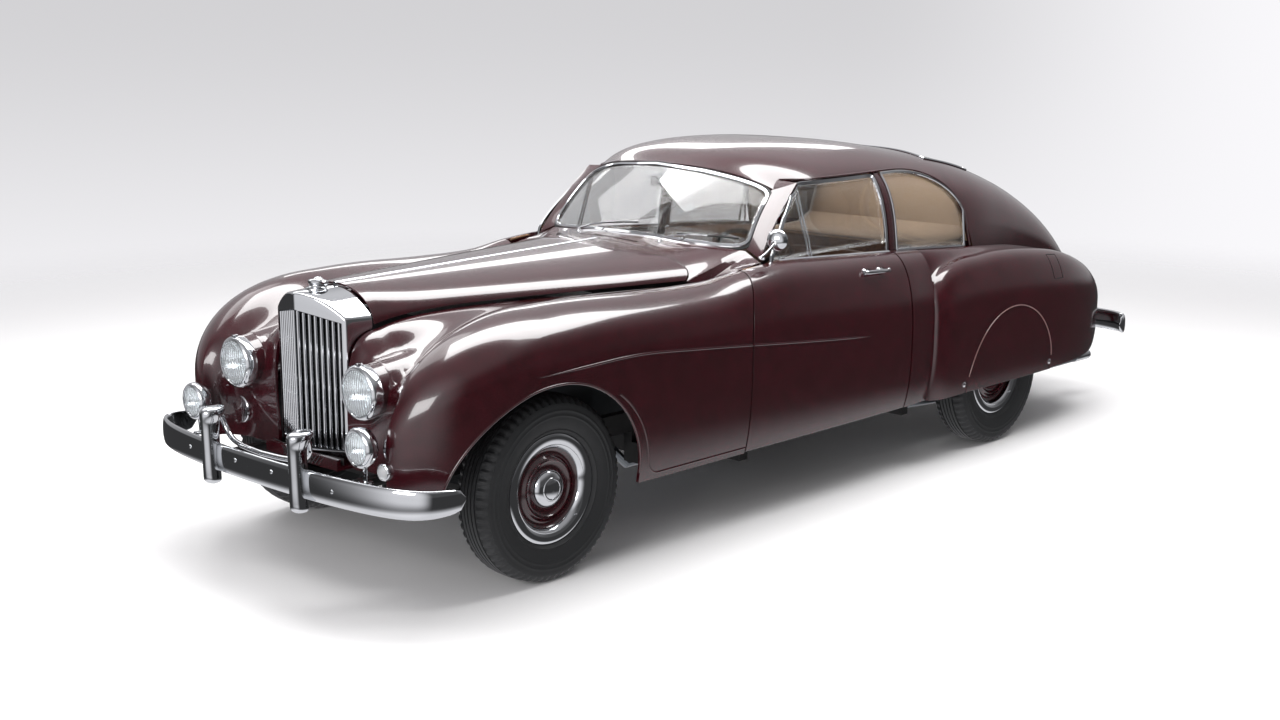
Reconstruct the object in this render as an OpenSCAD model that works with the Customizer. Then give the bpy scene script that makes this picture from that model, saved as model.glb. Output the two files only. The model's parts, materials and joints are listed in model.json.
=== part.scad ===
// Two-door fastback grand tourer of the early 1950s, built as an assembly.
// Every table below is measured from the front axle line: y grows rearwards, x is half a
// width from the middle plane, z is a height above the ground.

/* [Overall] */
// Distance between the axles
wheelbase = 3048; // [2950:1:3150]
// From the front axle to the front of the bumper
front_overhang = 850; // [830:1:900]
// From the rear axle to the back of the bumper
rear_overhang = 1347; // [1320:1:1400]
// Height of the roof above the ground
roof_z = 1555; // [1530:1:1600]
// Half the width of the doors and front wings at their widest
side_x = 888; // [875:1:900]
// Half the width over the rear wings
rear_wing_x = 908; // [900:1:925]
// Height of the lower edge of the doors and wings
sill_z = 320; // [300:1:340]

/* [Wheels] */
// Distance between the front tyre centres
front_track = 1435; // [1400:1:1450]
// Distance between the rear tyre centres
rear_track = 1486; // [1450:1:1500]
// Outer diameter of a tyre
tyre_d = 730; // [715:1:740]
// Width of a tyre
tyre_w = 176; // [160:1:190]
// Diameter over the rim flanges
rim_d = 436; // [420:1:446]
// Diameter of the hub cap
cap_d = 150; // [120:1:180]
// Diameter of the wheel bearing spindle
spindle_d = 50; // [40:1:60]
// Distance of the steering axis inboard of the tyre centre
kingpin_in = 65; // [55:1:80]

/* [Body panels] */
// Thickness of a wing, scuttle or tail panel with its inner flange
skin = 20; // [14:1:26]
// Thickness of the roof with its lining
roof_skin = 30; // [22:1:36]
// Thickness of a door
door_depth = 58; // [50:1:66]
// Gap around a door
door_gap = 8; // [7:1:10]
// Gap around the bonnet and boot lid
lid_gap = 6; // [6:1:9]
// Gap between the bonnet and the radiator shell
bonnet_front_gap = 5; // [5:1:9]
// Thickness of the bonnet and boot lid
lid_skin = 14; // [10:1:18]
// Front edge of the door from the front axle
door_front_y = 1052; // [1030:1:1080]
// Rear edge of the door from the front axle
door_rear_y = 2200; // [2170:1:2230]
// How far the front door edge leans back at the top
door_lean = 95; // [60:1:110]
// Front edge of the rear wing from the front axle
rear_wing_y = 2398; // [2380:1:2420]
// How far the side turns under at its lower edge
tuck = 40; // [20:1:50]

/* [Arches] */
// Middle of the front arch from the front axle
arch_y = -50; // [-60:1:-40]
// Length of the front arch ahead of its middle
arch_front = 485; // [470:1:495]
// Length of the front arch behind its middle
arch_rear = 455; // [450:1:470]
// Height of the front arch above the wheel centre
arch_h = 429; // [420:1:440]
// Radius of the cover over the rear wheel
spat_r = 388; // [375:1:395]

/* [Glass] */
// Thickness of the glass
glass = 5; // [4:1:7]
// Width of the bright frames around the glass
frame_w = 20; // [16:1:26]

/* [Radiator] */
// Half the width of the radiator shell
rad_x = 222; // [210:1:235]
// Height of the top of the radiator shell
rad_top_z = 1113; // [1100:1:1125]
// Height of the bottom of the radiator shell
rad_low_z = 490; // [470:1:510]
// How far the middle of the front stands ahead of its corners
rad_vee = 78; // [50:1:95]
// Number of slats on each half
slats = 8; // [6:1:10]
// Width of a slat
slat_w = 12; // [9:1:14]

/* [Lamps] */
// Diameter of a headlamp with its rim
head_d = 208; // [190:1:220]
// Half the distance between the headlamps
head_x = 405; // [395:1:415]
// Height of the headlamps
head_z = 778; // [765:1:790]
// Diameter of a fog lamp with its rim
fog_d = 150; // [140:1:160]
// Half the distance between the fog lamps
fog_x = 543; // [535:1:552]
// Height of the fog lamps
fog_z = 616; // [606:1:626]

/* [Bumpers] */
// Height of the middle of the bumper bars
bumper_z = 452; // [440:1:470]
// Height of a bumper bar
bumper_h = 112; // [95:1:125]
// Half the width of the front bumper
bumper_x = 880; // [860:1:900]
// Half the distance between the overriders
over_x = 290; // [270:1:310]

/* [Hidden] */

maroon = "#2d0c12";
chrome = "#c8ccd0";
black = "#17181a";
steel = "#6f7478";
tan = "#8a6a4a";
glass_tint = "#a9b4b8";

length = front_overhang + wheelbase + rear_overhang;
front_axle_y = -length / 2 + front_overhang;
wheel_z = tyre_d / 2;
front_x = front_track / 2;
rear_x = rear_track / 2;
kingpin_x = front_x - kingpin_in;
axle2 = wheelbase;

nose_y = -640;
nose_x = 600;
nose_z = 600;
wing_low_z = 450;
nose_corner_y = -200;
rad_back_y = -405;
bonnet_y0 = rad_back_y + bonnet_front_gap;
bonnet_y1 = 1000;

function clamp01(v) = max(0, min(1, v));
function soft(v) = let (u = clamp01(v)) u * u * (3 - 2 * u);
function mix(a, b, u) = a + (b - a) * u;
// Quarter of a superellipse: 1 at v = 0, 0 at v = 1
function arc01(v, n = 2) = pow(max(0, 1 - pow(clamp01(v), n)), 1 / n);
// Row of table t that s lies in
function row(t, s, i = 0) = i >= len(t) - 2 || s < t[i + 1][0] ? i : row(t, s, i + 1);
function slope(t, c, i) =
    let (a = max(i - 1, 0), b = min(i + 1, len(t) - 1)) (t[b][c] - t[a][c]) / (t[b][0] - t[a][0]);
// Smooth value of column c of table t at s
function at(t, c, s) =
    let (i = row(t, s), h = t[i + 1][0] - t[i][0], u = clamp01((s - t[i][0]) / h),
        a = t[i][c], b = t[i + 1][c], p = slope(t, c, i) * h, q = slope(t, c, i + 1) * h)
    a + u * (p + u * (3 * (b - a) - 2 * p - q + u * (2 * (a - b) + p + q)));
function steps(a, b, n) = [for (i = [0:n]) mix(a, b, i / n)];
function from(list, k) = [for (i = [k:len(list) - 1]) list[i]];

// Side of the body from the front wing to the rear wing.
// Columns: y, crown x, crown height, widest x, height of the widest line
SIDE = [
    [-200, 664, 1044, side_x - 6, 836],
    [0, 668, 1060, side_x - 2, 838],
    [250, 690, 1062, side_x, 842],
    [600, 712, 1050, side_x, 828],
    [880, 726, 1050, side_x, 805],
    [door_front_y, 740, 1076, side_x, 790],
    [1300, 742, 1094, side_x + 2, 768],
    [1871, 738, 1070, side_x, 715],
    [door_rear_y, 735, 1052, side_x - 6, 690],
    [rear_wing_y, 733, 1042, side_x - 20, 684],
    [2900, 725, 1010, side_x - 30, 680]
];
nose_blend_y = 0;
function nose(s) = arc01((nose_corner_y - s) / (nose_corner_y - nose_y));
function crown_x(s) = s < nose_corner_y ? mix(nose_x, SIDE[0][1], nose(s)) : at(SIDE, 1, s);
function crown_z(s) = s < nose_blend_y
    ? mix(nose_z, SIDE[1][2], arc01((nose_blend_y - s) / (nose_blend_y - nose_y), 2.15)) : at(SIDE, 2, s);
function wide_x(s) = s < nose_corner_y ? mix(nose_x, SIDE[0][3], nose(s)) : at(SIDE, 3, s);
function wide_z(s) = s < nose_corner_y ? mix(nose_z, SIDE[0][4], nose(s)) : at(SIDE, 4, s);
// How far the section at s leans back where it crosses height z
function lean(s, z) = door_lean * soft((s - 560) / (door_front_y - 560))
    * (1 - soft((s - 1250) / 400)) * pow(max(0, (z - 800) / 300), 2);
function leaned(s, p) = [p[0], s + lean(s, p[1]), p[1]];
function low_x(s, z) = wide_x(s) - tuck * pow((wide_z(s) - z) / (wide_z(s) - sill_z), 3);
round_k = 0.9;
// The side at s from height z0 up to the crown
function side_up(s, z0, n1, n2) = concat(
    [for (z = steps(z0, wide_z(s), n1)) leaned(s, [low_x(s, z), z])],
    [for (a = from(steps(0, 90, n2), 1)) leaned(s, [
        crown_x(s) + (wide_x(s) - crown_x(s)) * pow(max(0, cos(a)), round_k),
        wide_z(s) + (crown_z(s) - wide_z(s)) * pow(max(0, sin(a)), round_k)])]);
// Lower edge of the bonnet. Columns: y, x, height
BONNET_EDGE = [[-405, 237, 966], [-330, 262, 990], [-225, 290, 1008], [0, 338, 1020], [500, 446, 1018], [1060, 564, 1008]];
function bonnet_x(s) = at(BONNET_EDGE, 1, s);
function bonnet_low(s) = at(BONNET_EDGE, 2, s);
// Inner edge of the wing ahead of the bonnet, down beside the radiator and out to the nose.
// Columns: y of the crown that the row starts from, then x, y and height of its inner end
FRONT_EDGE = [
    [nose_y, nose_x, nose_y, wing_low_z],
    [-626, 545, -560, wing_low_z],
    [-606, 450, -520, wing_low_z],
    [-586, 340, -518, wing_low_z],
    [-568, 236, -530, 462],
    [-552, 236, -536, 640],
    [-536, 236, -532, 780],
    [-514, 236, -514, 866],
    [-490, 236, -490, 918],
    [-456, 238, -456, 948],
    [-420, 241, -420, 964],
    [-403, 243, -403, 968]
];
edge_start = -410;
function inner_at(s) = s < edge_start ? [for (c = [1:3]) at(FRONT_EDGE, c, s)] : [bonnet_x(s) + lid_gap, s, bonnet_low(s)];
// Depth of the valley between the crown and the bonnet
VALLEY = [[-640, 0], [-600, 30], [-540, 90], [-450, 120], [-300, 78], [-150, 40], [0, 20], [300, 8], [700, 0], [1060, 0]];
// From the crown in to the inner edge
function side_in(s, n) =
    let (e = inner_at(s), c = [crown_x(s), s, crown_z(s)], front = soft((-480 - s) / 90))
    [for (t = from(steps(0, 1, n), 1)) let (q = mix(soft(t), 1 - pow(1 - t, 2.2), front))
        leaned(mix(s, e[1], q), [mix(c[0], e[0], mix(t, q, 0.4 * front)),
            mix(c[2], e[2], mix(soft(t), pow(t, 1.5), front)) - at(VALLEY, 1, s) * pow(sin(180 * t), 2)])];

// Columns: y, height of the lower edge
arch_low = (wing_low_z - wheel_z) / arch_h;
WING_ROWS = concat(
    [for (a = [1, 12, 22, 31, 39, 46, 53, 60]) [nose_y + 200 * (1 - cos(a)), wing_low_z]],
    [for (a = steps(asin(arch_low), 90, 7)) [arch_y - arch_front * cos(a), wheel_z + arch_h * sin(a)]],
    [for (a = from(steps(90, 0, 7), 1)) [arch_y + arch_rear * cos(a), wheel_z + arch_h * sin(a)]],
    [[arch_y + arch_rear + 2, sill_z]],
    [for (y = from(steps(arch_y + arch_rear + 2, door_front_y - door_gap / 2, 5), 1)) [y, sill_z]]);

// A closed shell from a grid of outside points: rows along the car, columns across it
function unit(v) = v / norm(v);
function normal_at(g, i, j) =
    let (m = len(g) - 1, n = len(g[0]) - 1,
        a = g[min(i + 1, m)][j] - g[max(i - 1, 0)][j], b = g[i][min(j + 1, n)] - g[i][max(j - 1, 0)])
    unit(cross(a, b));
function inside(g, depth) =
    [for (i = [0:len(g) - 1]) [for (j = [0:len(g[0]) - 1]) g[i][j] - depth * normal_at(g, i, j)]];
function flat(rows) = [for (r = rows) for (p = r) p];
function quad(a, b, c, d) = [[a, b, c], [a, c, d]];
module between(outer, inner, keep = function (i, j) true) {
    m = len(outer) - 1;
    n = len(outer[0]);
    count = (m + 1) * n;
    function o(i, j) = i * n + j;
    function k(i, j) = i >= 0 && j >= 0 && i < m && j < n - 1 && keep(i, j);
    faces = [for (i = [0:m - 1]) for (j = [0:n - 2]) if (keep(i, j))
        let (a = o(i, j), b = o(i, j + 1), c = o(i + 1, j + 1), d = o(i + 1, j), q = count)
        each concat(quad(a, b, c, d), quad(d + q, c + q, b + q, a + q),
            k(i, j - 1) ? [] : quad(a, d, d + q, a + q),
            k(i + 1, j) ? [] : quad(d, c, c + q, d + q),
            k(i, j + 1) ? [] : quad(c, b, b + q, c + q),
            k(i - 1, j) ? [] : quad(b, a, a + q, b + q))];
    polyhedron(points = concat(flat(outer), flat(inner)), faces = faces);
}
module shell(g, depth) between(g, inside(g, depth));
// A tube along a path in any plane: rings of n points of radius r
module tube(path, r, n = 12) {
    rings = [for (i = [0:len(path) - 1])
        let (d = unit(path[min(i + 1, len(path) - 1)] - path[max(i - 1, 0)]),
            u = unit(cross(d, abs(d[2]) > 0.9 ? [1, 0, 0] : [0, 0, 1])), v = cross(d, u))
        [for (k = [0:n - 1]) path[i] + r * (cos(360 * k / n) * u + sin(360 * k / n) * v)]];
    closed_loft(rings);
}
// A closed solid through rings of points, with flat ends
module closed_loft(rings) {
    n = len(rings[0]);
    last = (len(rings) - 1) * n;
    faces = concat(
        [for (i = [0:len(rings) - 2]) for (k = [0:n - 1])
            each quad(i * n + k, (i + 1) * n + k, (i + 1) * n + (k + 1) % n, i * n + (k + 1) % n)],
        [[for (k = [0:n - 1]) k]], [[for (k = [n - 1:-1:0]) last + k]]);
    polyhedron(points = flat(rings), faces = faces);
}
module car() translate([0, front_axle_y, 0]) children();
module both() { children(); mirror([1, 0, 0]) children(); }
module block(a, b) translate([min(a[0], b[0]), min(a[1], b[1]), min(a[2], b[2])])
    cube([abs(b[0] - a[0]), abs(b[1] - a[1]), abs(b[2] - a[2])]);
// A round bar along x, centred on p
module bar_x(p, r, w) translate(p) rotate([0, 90, 0]) cylinder(r = r, h = w, center = true, $fn = 48);

// Upper body, from the screen header over the roof and down the tail.
// Columns: place along the profile, y of the middle, height of the middle,
// x of the lower edge, height of the lower edge, how far y moves at x = 600
UPPER = [
    [0, 1418, roof_z - 84, 742, 1095, 150],
    [1, 1600, roof_z - 28, 742, 1088, 90],
    [2, 1880, roof_z, 739, 1072, 30],
    [3, 2250, roof_z - 9, 735, 1050, 0],
    [4, 2620, roof_z - 54, 732, 1030, 0],
    [5, 3000, roof_z - 116, 722, 1004, -10],
    [6, 3300, roof_z - 188, 690, 975, -20],
    [7, 3600, roof_z - 285, 655, 925, -35],
    [8, 3850, roof_z - 405, 632, 868, -50],
    [9, 4030, roof_z - 535, 618, 805, -70],
    [10, 4155, 865, 608, 735, -90],
    [11, 4232, 690, 600, 640, -110],
    [12, 4250, 530, 596, 520, -120],
    [13, 4225, 390, 592, 390, -125]
];
upper_lean = 0.10;
// Exponent of the section: rounder at the header and down the tail
function upper_n(s) = s < 5 ? mix(2.7, 3.4, soft(s / 1.5)) : mix(3.4, 2.4, soft((s - 5) / 5));
// Point of the upper body at place s, with w from 0 in the middle to 1 at the lower edge
function upper_at(s, w) =
    let (zc = at(UPPER, 2, s), zb = at(UPPER, 4, s), n = upper_n(s),
        c = pow(max(0, cos(90 * w)), 2 / n), u = pow(max(0, sin(90 * w)), 2 / n),
        x = (at(UPPER, 3, s) - upper_lean * (zc - zb) * c * (1 - soft((s - 5) / 4))) * u)
    [x, at(UPPER, 1, s) + at(UPPER, 5, s) * pow(x / 600, 2.2), zb + (zc - zb) * c];
// The w at which the section at s has the height z
function upper_w(s, z) =
    let (zc = at(UPPER, 2, s), zb = at(UPPER, 4, s), n = upper_n(s))
    acos(pow(clamp01((z - zb) / (zc - zb)), n / 2)) / 90;
// Top of the side windows
gutter_z = roof_z - 142;
pillar_s = 0.45;
function gutter(s) = s < pillar_s ? mix(roof_z - 178, gutter_z, s / pillar_s) : let (y = at(UPPER, 1, s))
    mix(gutter_z, at(UPPER, 4, s), 1 - arc01((y - 2300) / 590, 2.6));

quarter_end = 5;
rear_glass_s = [4.55, 5.75];
boot_s = [7.0, 12.2];
glass_half = 470;
boot_half = 520;
// Places along the profile where the roof panel has a row
ROOF_S = concat([0, 0.22, pillar_s, 0.7], steps(1, 4, 9), [4.25, 4.55], from(steps(4.55, 5.75, 4), 1),
    [6.1, 6.55, 7], from(steps(7, 12.2, 12), 1), [12.6, 13]);
// The column places: across the window or lid first, then out to the edge
function cut_half(s) = s < 6.4 ? glass_half : boot_half;
function side_w(s) = s < quarter_end ? upper_w(s, gutter(s)) : 1;
function w_of_x(s, x, lo = 0, hi = 1, k = 0) = k > 18 ? (lo + hi) / 2
    : let (m = (lo + hi) / 2) upper_at(s, m)[0] < x ? w_of_x(s, x, m, hi, k + 1) : w_of_x(s, x, lo, m, k + 1);
function roof_half(s) = let (wc = w_of_x(s, cut_half(s)), we = side_w(s))
    concat(steps(0, wc, 4), from(steps(wc, we, 4), 1));
function flip(p) = [-p[0], p[1], p[2]];
function reversed(l) = [for (i = [len(l) - 1:-1:0]) l[i]];
function roof_row(s) = let (h = [for (w = roof_half(s)) upper_at(s, w)])
    concat(reversed(h), [for (p = from(h, 1)) flip(p)]);

module roof() color(maroon) car() {
    g = [for (s = ROOF_S) roof_row(s)];
    cut = function (i, j) let (s = (ROOF_S[i] + ROOF_S[i + 1]) / 2)
        !(j >= 4 && j < 12 && ((s > rear_glass_s[0] && s < rear_glass_s[1]) || (s > boot_s[0] && s < boot_s[1])));
    deep = inside(g, roof_skin);
    last = len(g[0]) - 1;
    between(g, [for (i = [0:len(g) - 1]) [for (j = [0:last])
        j == 0 ? g[i][j] - [roof_skin, 0, 0] : j == last ? g[i][j] + [roof_skin, 0, 0] : deep[i][j]]], cut);
}

lid_y = at(UPPER, 1, boot_s[0]);
lid_z = at(UPPER, 2, boot_s[0]);
module boot_lid() color(maroon) car() {
    rows = steps(boot_s[0] + 0.035, boot_s[1] - 0.06, 12);
    half = function (s) [for (w = steps(0, w_of_x(s, boot_half - lid_gap), 5)) upper_at(s, w)];
    g = [for (s = rows) concat(reversed(half(s)), [for (p = from(half(s), 1)) flip(p)])];
    shell(g, lid_skin);
    // Hinge lugs at the front edge
    both() block([30, lid_y - 2.2, lid_z - 13], [90, lid_y + 18, lid_z - 7]);
}

module rear_glass() color(glass_tint) car() {
    rows = steps(rear_glass_s[0] + 0.002, rear_glass_s[1] - 0.002, 4);
    half = function (s) [for (w = steps(0, w_of_x(s, glass_half - 0.6), 4)) upper_at(s, w)];
    g = [for (s = rows) concat(reversed(half(s)), [for (p = from(half(s), 1)) flip(p)])];
    shell(g, glass);
    both() quarter_pane();
}
// The upper body on the left at y and height z, behind the header
function place_of(y, lo = 0, hi = 13, k = 0) = k > 20 ? (lo + hi) / 2
    : let (m = (lo + hi) / 2) at(UPPER, 1, m) < y ? place_of(y, m, hi, k + 1) : place_of(y, lo, m, k + 1);
function upper_side(y, z, d = 0) =
    let (s = place_of(y), p = upper_at(s, upper_w(s, max(z, at(UPPER, 4, s))))) [p[0] - d, y, z];
function belt_z(y) = at(SIDE, 2, y);
quarter_y0 = door_rear_y + 62;
quarter_y1 = 2856;
module quarter_pane() {
    g = [for (y = steps(quarter_y0, quarter_y1, 9))
        [for (u = steps(-0.1, 1, 5)) u < 0 ? [at(SIDE, 1, y) - 1, y, belt_z(y) - 2] : upper_side(y, mix(belt_z(y) + 6, max(gutter(place_of(y + 8)) - 12, belt_z(y) + 12), u), 8)]];
    between(g, [for (r = g) [for (q = r) q - [glass, 0, 0]]]);
}

module front_wing() {
    g = [for (r = WING_ROWS) concat(side_up(r[0], r[1], 5, 6), side_in(r[0], 8))];
    difference() {
        shell(g, skin);
        nacelle(0.3);
    }
}
module front_wing_left() color(maroon) car() front_wing();
module front_wing_right() color(maroon) car() mirror([1, 0, 0]) front_wing();

// Bonnet half: from the middle line out to its lower edge
bonnet_rise = 0.0283;
function bonnet_mid_z(y) = rad_top_z + 8 + (y - bonnet_y0) * bonnet_rise;
hinge_r = 8;
hinge_gap = 6;
hinge_pin_gap = 0.3;
// The rear edge of the bonnet curves back towards its corners
bonnet_sweep = 60;
function swept(x, y) = [x, y + bonnet_sweep * soft((y - 400) / 600) * pow(x / 562, 2)];
function bonnet_row(y) = let (zc = bonnet_mid_z(y), x0 = hinge_r + hinge_gap, x = bonnet_x(y), h = zc - bonnet_low(y))
    [for (a = steps(84, 0, 8)) let (q = swept(x0 + (x - x0) * pow(sin(a), 0.86), y))
        [q[0], q[1], zc - h * (1 - pow(cos(a), 0.86))]];
// Bright hinge strip along the middle of the bonnet
module bonnet_hinge() color(chrome) car() {
    y0 = rad_back_y + 0.5;
    slope = atan(bonnet_rise);
    translate([0, y0, bonnet_mid_z(y0) - 3]) rotate([slope - 90, 0, 0])
        cylinder(r = hinge_r, h = (bonnet_y1 + lid_gap - y0) / cos(slope), $fn = 48);
}
module bonnet_half(tab_y) {
    g = [for (y = steps(bonnet_y0, bonnet_y1, 12)) bonnet_row(y)];
    shell(g, lid_skin);
    // Straps that ride on the hinge strip
    for (y = tab_y) let (z = bonnet_mid_z(y) - 3)
        block([hinge_r + hinge_pin_gap, y, z - 5], [hinge_r + hinge_gap + 10, y + 30, z - 1]);
}
module bonnet_left() color(maroon) car() bonnet_half([-400, 100, 600, 900]);
module bonnet_right() color(maroon) car() mirror([1, 0, 0]) bonnet_half([-350, 150, 650, 950]);

// Windscreen: u from -1 to 1 across, v from 0 at the bottom to 1 at the header
function screen_low(u) = [609 * u, 1190 + 137 * pow(abs(u), 2.2), 1172 - 40 * u * u];
function screen_top(u) = [565 * u, 1405 + 142 * pow(abs(u), 2.2), roof_z - 93 - 85 * u * u];
function screen_at(u, v) = mix(screen_low(u), screen_top(u), v) + [0, -14 * sin(180 * v), 8 * sin(180 * v)];
module windscreen() color(glass_tint) car() {
    g = [for (u = steps(-0.9995, 0.9995, 16)) [for (v = steps(0.01, 0.985, 5)) screen_at(u, v)]];
    shell(reversed([for (r = g) reversed(r)]), glass);
}
// Screen pillars: between the screen and the front of the door glass
function pillar_back(v) = let (z = mix(1092, gutter_z, v))
    [mix(698, 652, v), 1318 + 300 * pow(v, 1.25), z];
// Rear door post above the belt, between the door glass and the quarter window
post_y = [door_rear_y + 12, door_rear_y + 58];
module windscreen_pillars() color(maroon) car() both() {
    g = [for (v = steps(0.01, 0.985, 8)) let (a = screen_at(1, v), b = pillar_back(v))
        [for (t = steps(0, 1, 3)) mix(a, b, t) + [6 * sin(180 * t), 0, 0]]];
    deep = [for (r = g) [for (k = [0:3]) r[k] + mix([-4, 18, -14], [-15, -1, -9], k / 3)]];
    between(reversed(g), reversed(deep));
    post = [for (y = post_y) [for (u = steps(0, 1, 4)) upper_side(y, mix(belt_z(y) + 1, gutter_z - 1, u), 3)]];
    shell(post, 22);
}

// Scuttle between the bonnet, the wings and the screen, out to the pillars
function wing_end(t) = let (r = side_in(door_front_y - door_gap / 2, 8))
    r[round(7 * (1 - t))] + [0, 1, 0];
module scuttle() color(maroon) car() {
    half = concat(
        [for (u = steps(0, 1, 8)) let (p = screen_low(u), q = bonnet_row(bonnet_y1)[round(8 * (1 - u))],
                x = u == 1 ? q[0] + lid_gap : q[0])
            [for (t = steps(0, 1, 5)) mix([x, q[1] + lid_gap + 40 * u * u, q[2]], p - [0, 6, 3], t)]],
        [for (u = steps(1 / 3, 1, 2)) let (p = mix(screen_low(1), pillar_back(0), u) - [0, 6, 4],
                q = wing_end(u * 0.8))
            [for (t = steps(0, 1, 5)) mix(q, p, t)]]);
    g = concat(reversed(half), [for (r = from(half, 1)) [for (p = r) flip(p)]]);
    shell(reversed(g), skin);
}

// Clearance of a pane in its frame
glass_seat = 0.3;

// Door: outside from the side table, with a bright frame around its glass
door_top_depth = 30;
module door_shell() {
    y0 = door_front_y + door_gap / 2;
    y1 = door_rear_y - door_gap / 2;
    g = [for (s = steps(y0, y1, 10)) side_up(s, sill_z + 6, 5, 6)];
    deep = [for (i = [0:10]) [for (j = [0:len(g[0]) - 1]) let (p = g[i][j],
            d = mix(door_depth, door_top_depth, soft((p[2] - 900) / 150)))
        [p[0] - d, p[1] + mix(14, -12, i / 10), p[2] - (j == len(g[0]) - 1 ? 4 : 0)]]];
    between(g, deep);
}
// Outline of the door above the belt, in side view: up the pillar, along the gutter, down the post
frame_top_z = gutter_z - door_gap;
function pillar_y(z) = let (v = clamp01((z - 1092) / (gutter_z - 1092))) 1318 + 300 * pow(v, 1.25);
frame_y1 = door_rear_y + 2;
corner_r = 30;
frame_back = door_gap + 6;
corner_y0 = pillar_y(frame_top_z - corner_r) + frame_back;
corner_y1 = corner_y0 + 1.2 * corner_r;
corner_y2 = corner_y1 + 50;
FRAME = concat(
    [for (z = steps(belt_z(1330) - 18, frame_top_z - corner_r, 4)) [pillar_y(z) + frame_back, z]],
    [for (t = [1 / 3, 2 / 3]) [mix(mix(corner_y0, corner_y1, t), mix(corner_y1, corner_y2, t), t),
        frame_top_z - corner_r * (1 - t) * (1 - t)]],
    [for (y = steps(corner_y2, frame_y1 - 24, 6)) [y, frame_top_z]],
    [[frame_y1, frame_top_z - 14]],
    [for (z = steps(frame_top_z - 60, belt_z(frame_y1) - 18, 3)) [frame_y1, z]]);
function turn_at(i) = let (d = FRAME[min(i + 1, len(FRAME) - 1)] - FRAME[max(i - 1, 0)]) [d[1], -d[0]] / norm(d);
module door_frame() {
    g = [for (i = [0:len(FRAME) - 1]) let (p = FRAME[i], q = p + frame_w * turn_at(i))
        [upper_side(q[0], q[1], 4), upper_side(p[0], p[1], 4)]];
    between(g, [for (r = g) [for (q = r) q - [16, 0, 0]]]);
}
module door_left() color(maroon) car() { door_shell(); door_frame(); }
module door_right() color(maroon) car() mirror([1, 0, 0]) { door_shell(); door_frame(); }
// Door glass, inside its frame
FRAME_IN = [for (i = [0:len(FRAME) - 1]) FRAME[i] + frame_w * turn_at(i)];
PANE_FRONT = [for (i = [0:7]) [FRAME_IN[i][1], FRAME_IN[i][0]]];
module door_pane() {
    y1 = frame_y1 - frame_w - 1;
    z1 = frame_top_z - frame_w - 1.5;
    g = [for (t = steps(0, 1, 9)) [for (u = concat(steps(0, 0.8, 4), [0.9, 1]))
        let (y = mix(lookup(mix(belt_z(1500), z1, u), PANE_FRONT) + 4, y1, t))
        upper_side(y, mix(belt_z(y) + glass_seat + 0.8, z1, u), 10)]];
    between(g, [for (r = g) [for (q = r) q - [glass, 0, 0]]]);
}
module door_glass_left() color(glass_tint) car() door_pane();
module door_glass_right() color(glass_tint) car() mirror([1, 0, 0]) door_pane();

// Rear wing with the quarter panel ahead of it.
// Columns: y, inner x, inner height, crown x, crown height, widest x, widest height, lower edge
QUARTER = [
    [2796, 727, 1019, 806, 980, rear_wing_x - 1, 690, sill_z + 4],
    [3000, 722, 1004, 800, 985, rear_wing_x, 680, sill_z + 6],
    [3300, 690, 975, 796, 965, rear_wing_x, 665, sill_z + 10],
    [3600, 653, 925, 785, 922, rear_wing_x - 10, 650, sill_z + 14],
    [3850, 628, 862, 762, 845, rear_wing_x - 42, 630, sill_z + 18],
    [4000, 612, 800, 735, 770, rear_wing_x - 85, 615, sill_z + 40],
    [4100, 600, 725, 705, 690, rear_wing_x - 140, 600, 440],
    [4140, 596, 640, 680, 640, rear_wing_x - 190, 590, 540]
];
quarter_front = QUARTER[0][0];
function bulge(s) = arc01((quarter_front - s) / (quarter_front - rear_wing_y), 2.5);
function step_out(s) = arc01((rear_wing_y + 120 - s) / 120);
function q_at(c, s) = at(QUARTER, c, s);
function wing_section(s) = s >= quarter_front ? [for (c = [1:7]) q_at(c, s)]
    : [at(SIDE, 1, s), at(SIDE, 2, s), mix(842, 806, bulge(s)), mix(800, 980, bulge(s)),
        mix(side_x - 20, rear_wing_x - 1, step_out(s)), mix(684, 690, bulge(s)), sill_z + 4];
// Height of the surface's lower edge: the wing is cut away over the rear wheel
cover_z = sill_z + 6;
function side_x_at(r, z) = z < r[5] ? r[4] - 30 * pow((r[5] - z) / (r[5] - sill_z), 3)
    : r[2] + (r[4] - r[2]) * pow(cos(asin(pow((z - r[5]) / (r[3] - r[5]), 1 / round_k))), round_k);
function rear_row(s, zl, n1, n2, n3) =
    let (r = wing_section(s), xi = r[0] + 3 + 5 * soft((s - 3800) / 200), zi = r[1] - 2, xc = r[2], zc = r[3],
        zm = max(r[5], zl + 30), a0 = asin(pow((zm - r[5]) / (zc - r[5]), 1 / round_k)))
    concat(
        [for (z = steps(zl, zm, n1)) [side_x_at(r, z), s, z]],
        [for (a = from(steps(a0, 90, n2), 1)) [xc + (r[4] - xc) * pow(max(0, cos(a)), round_k), s,
            r[5] + (zc - r[5]) * pow(max(0, sin(a)), round_k)]],
        [for (t = from(steps(0, 1, n3), 1)) [mix(xc, xi, t), s, mix(zc, zi, soft(t))]]);
// Columns: y, height of the lower edge
REAR_ROWS = concat(
    [for (s = [rear_wing_y + 0.5, 2404, 2420, 2450, 2500, 2580]) [s, wing_section(s)[6]]],
    [[axle2 - spat_r - 1, cover_z]],
    [for (a = steps(0, 180, 14)) [axle2 - spat_r * cos(a), cover_z + spat_r * sin(a)]],
    [[axle2 + spat_r + 1, cover_z]],
    [for (s = concat(steps(3520, 4100, 6), [4125, 4139])) [s, wing_section(s)[6]]]);
module rear_wing() {
    g = [for (r = REAR_ROWS) rear_row(r[0], r[1], 5, 6, 4)];
    shell(g, skin);
}
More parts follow.
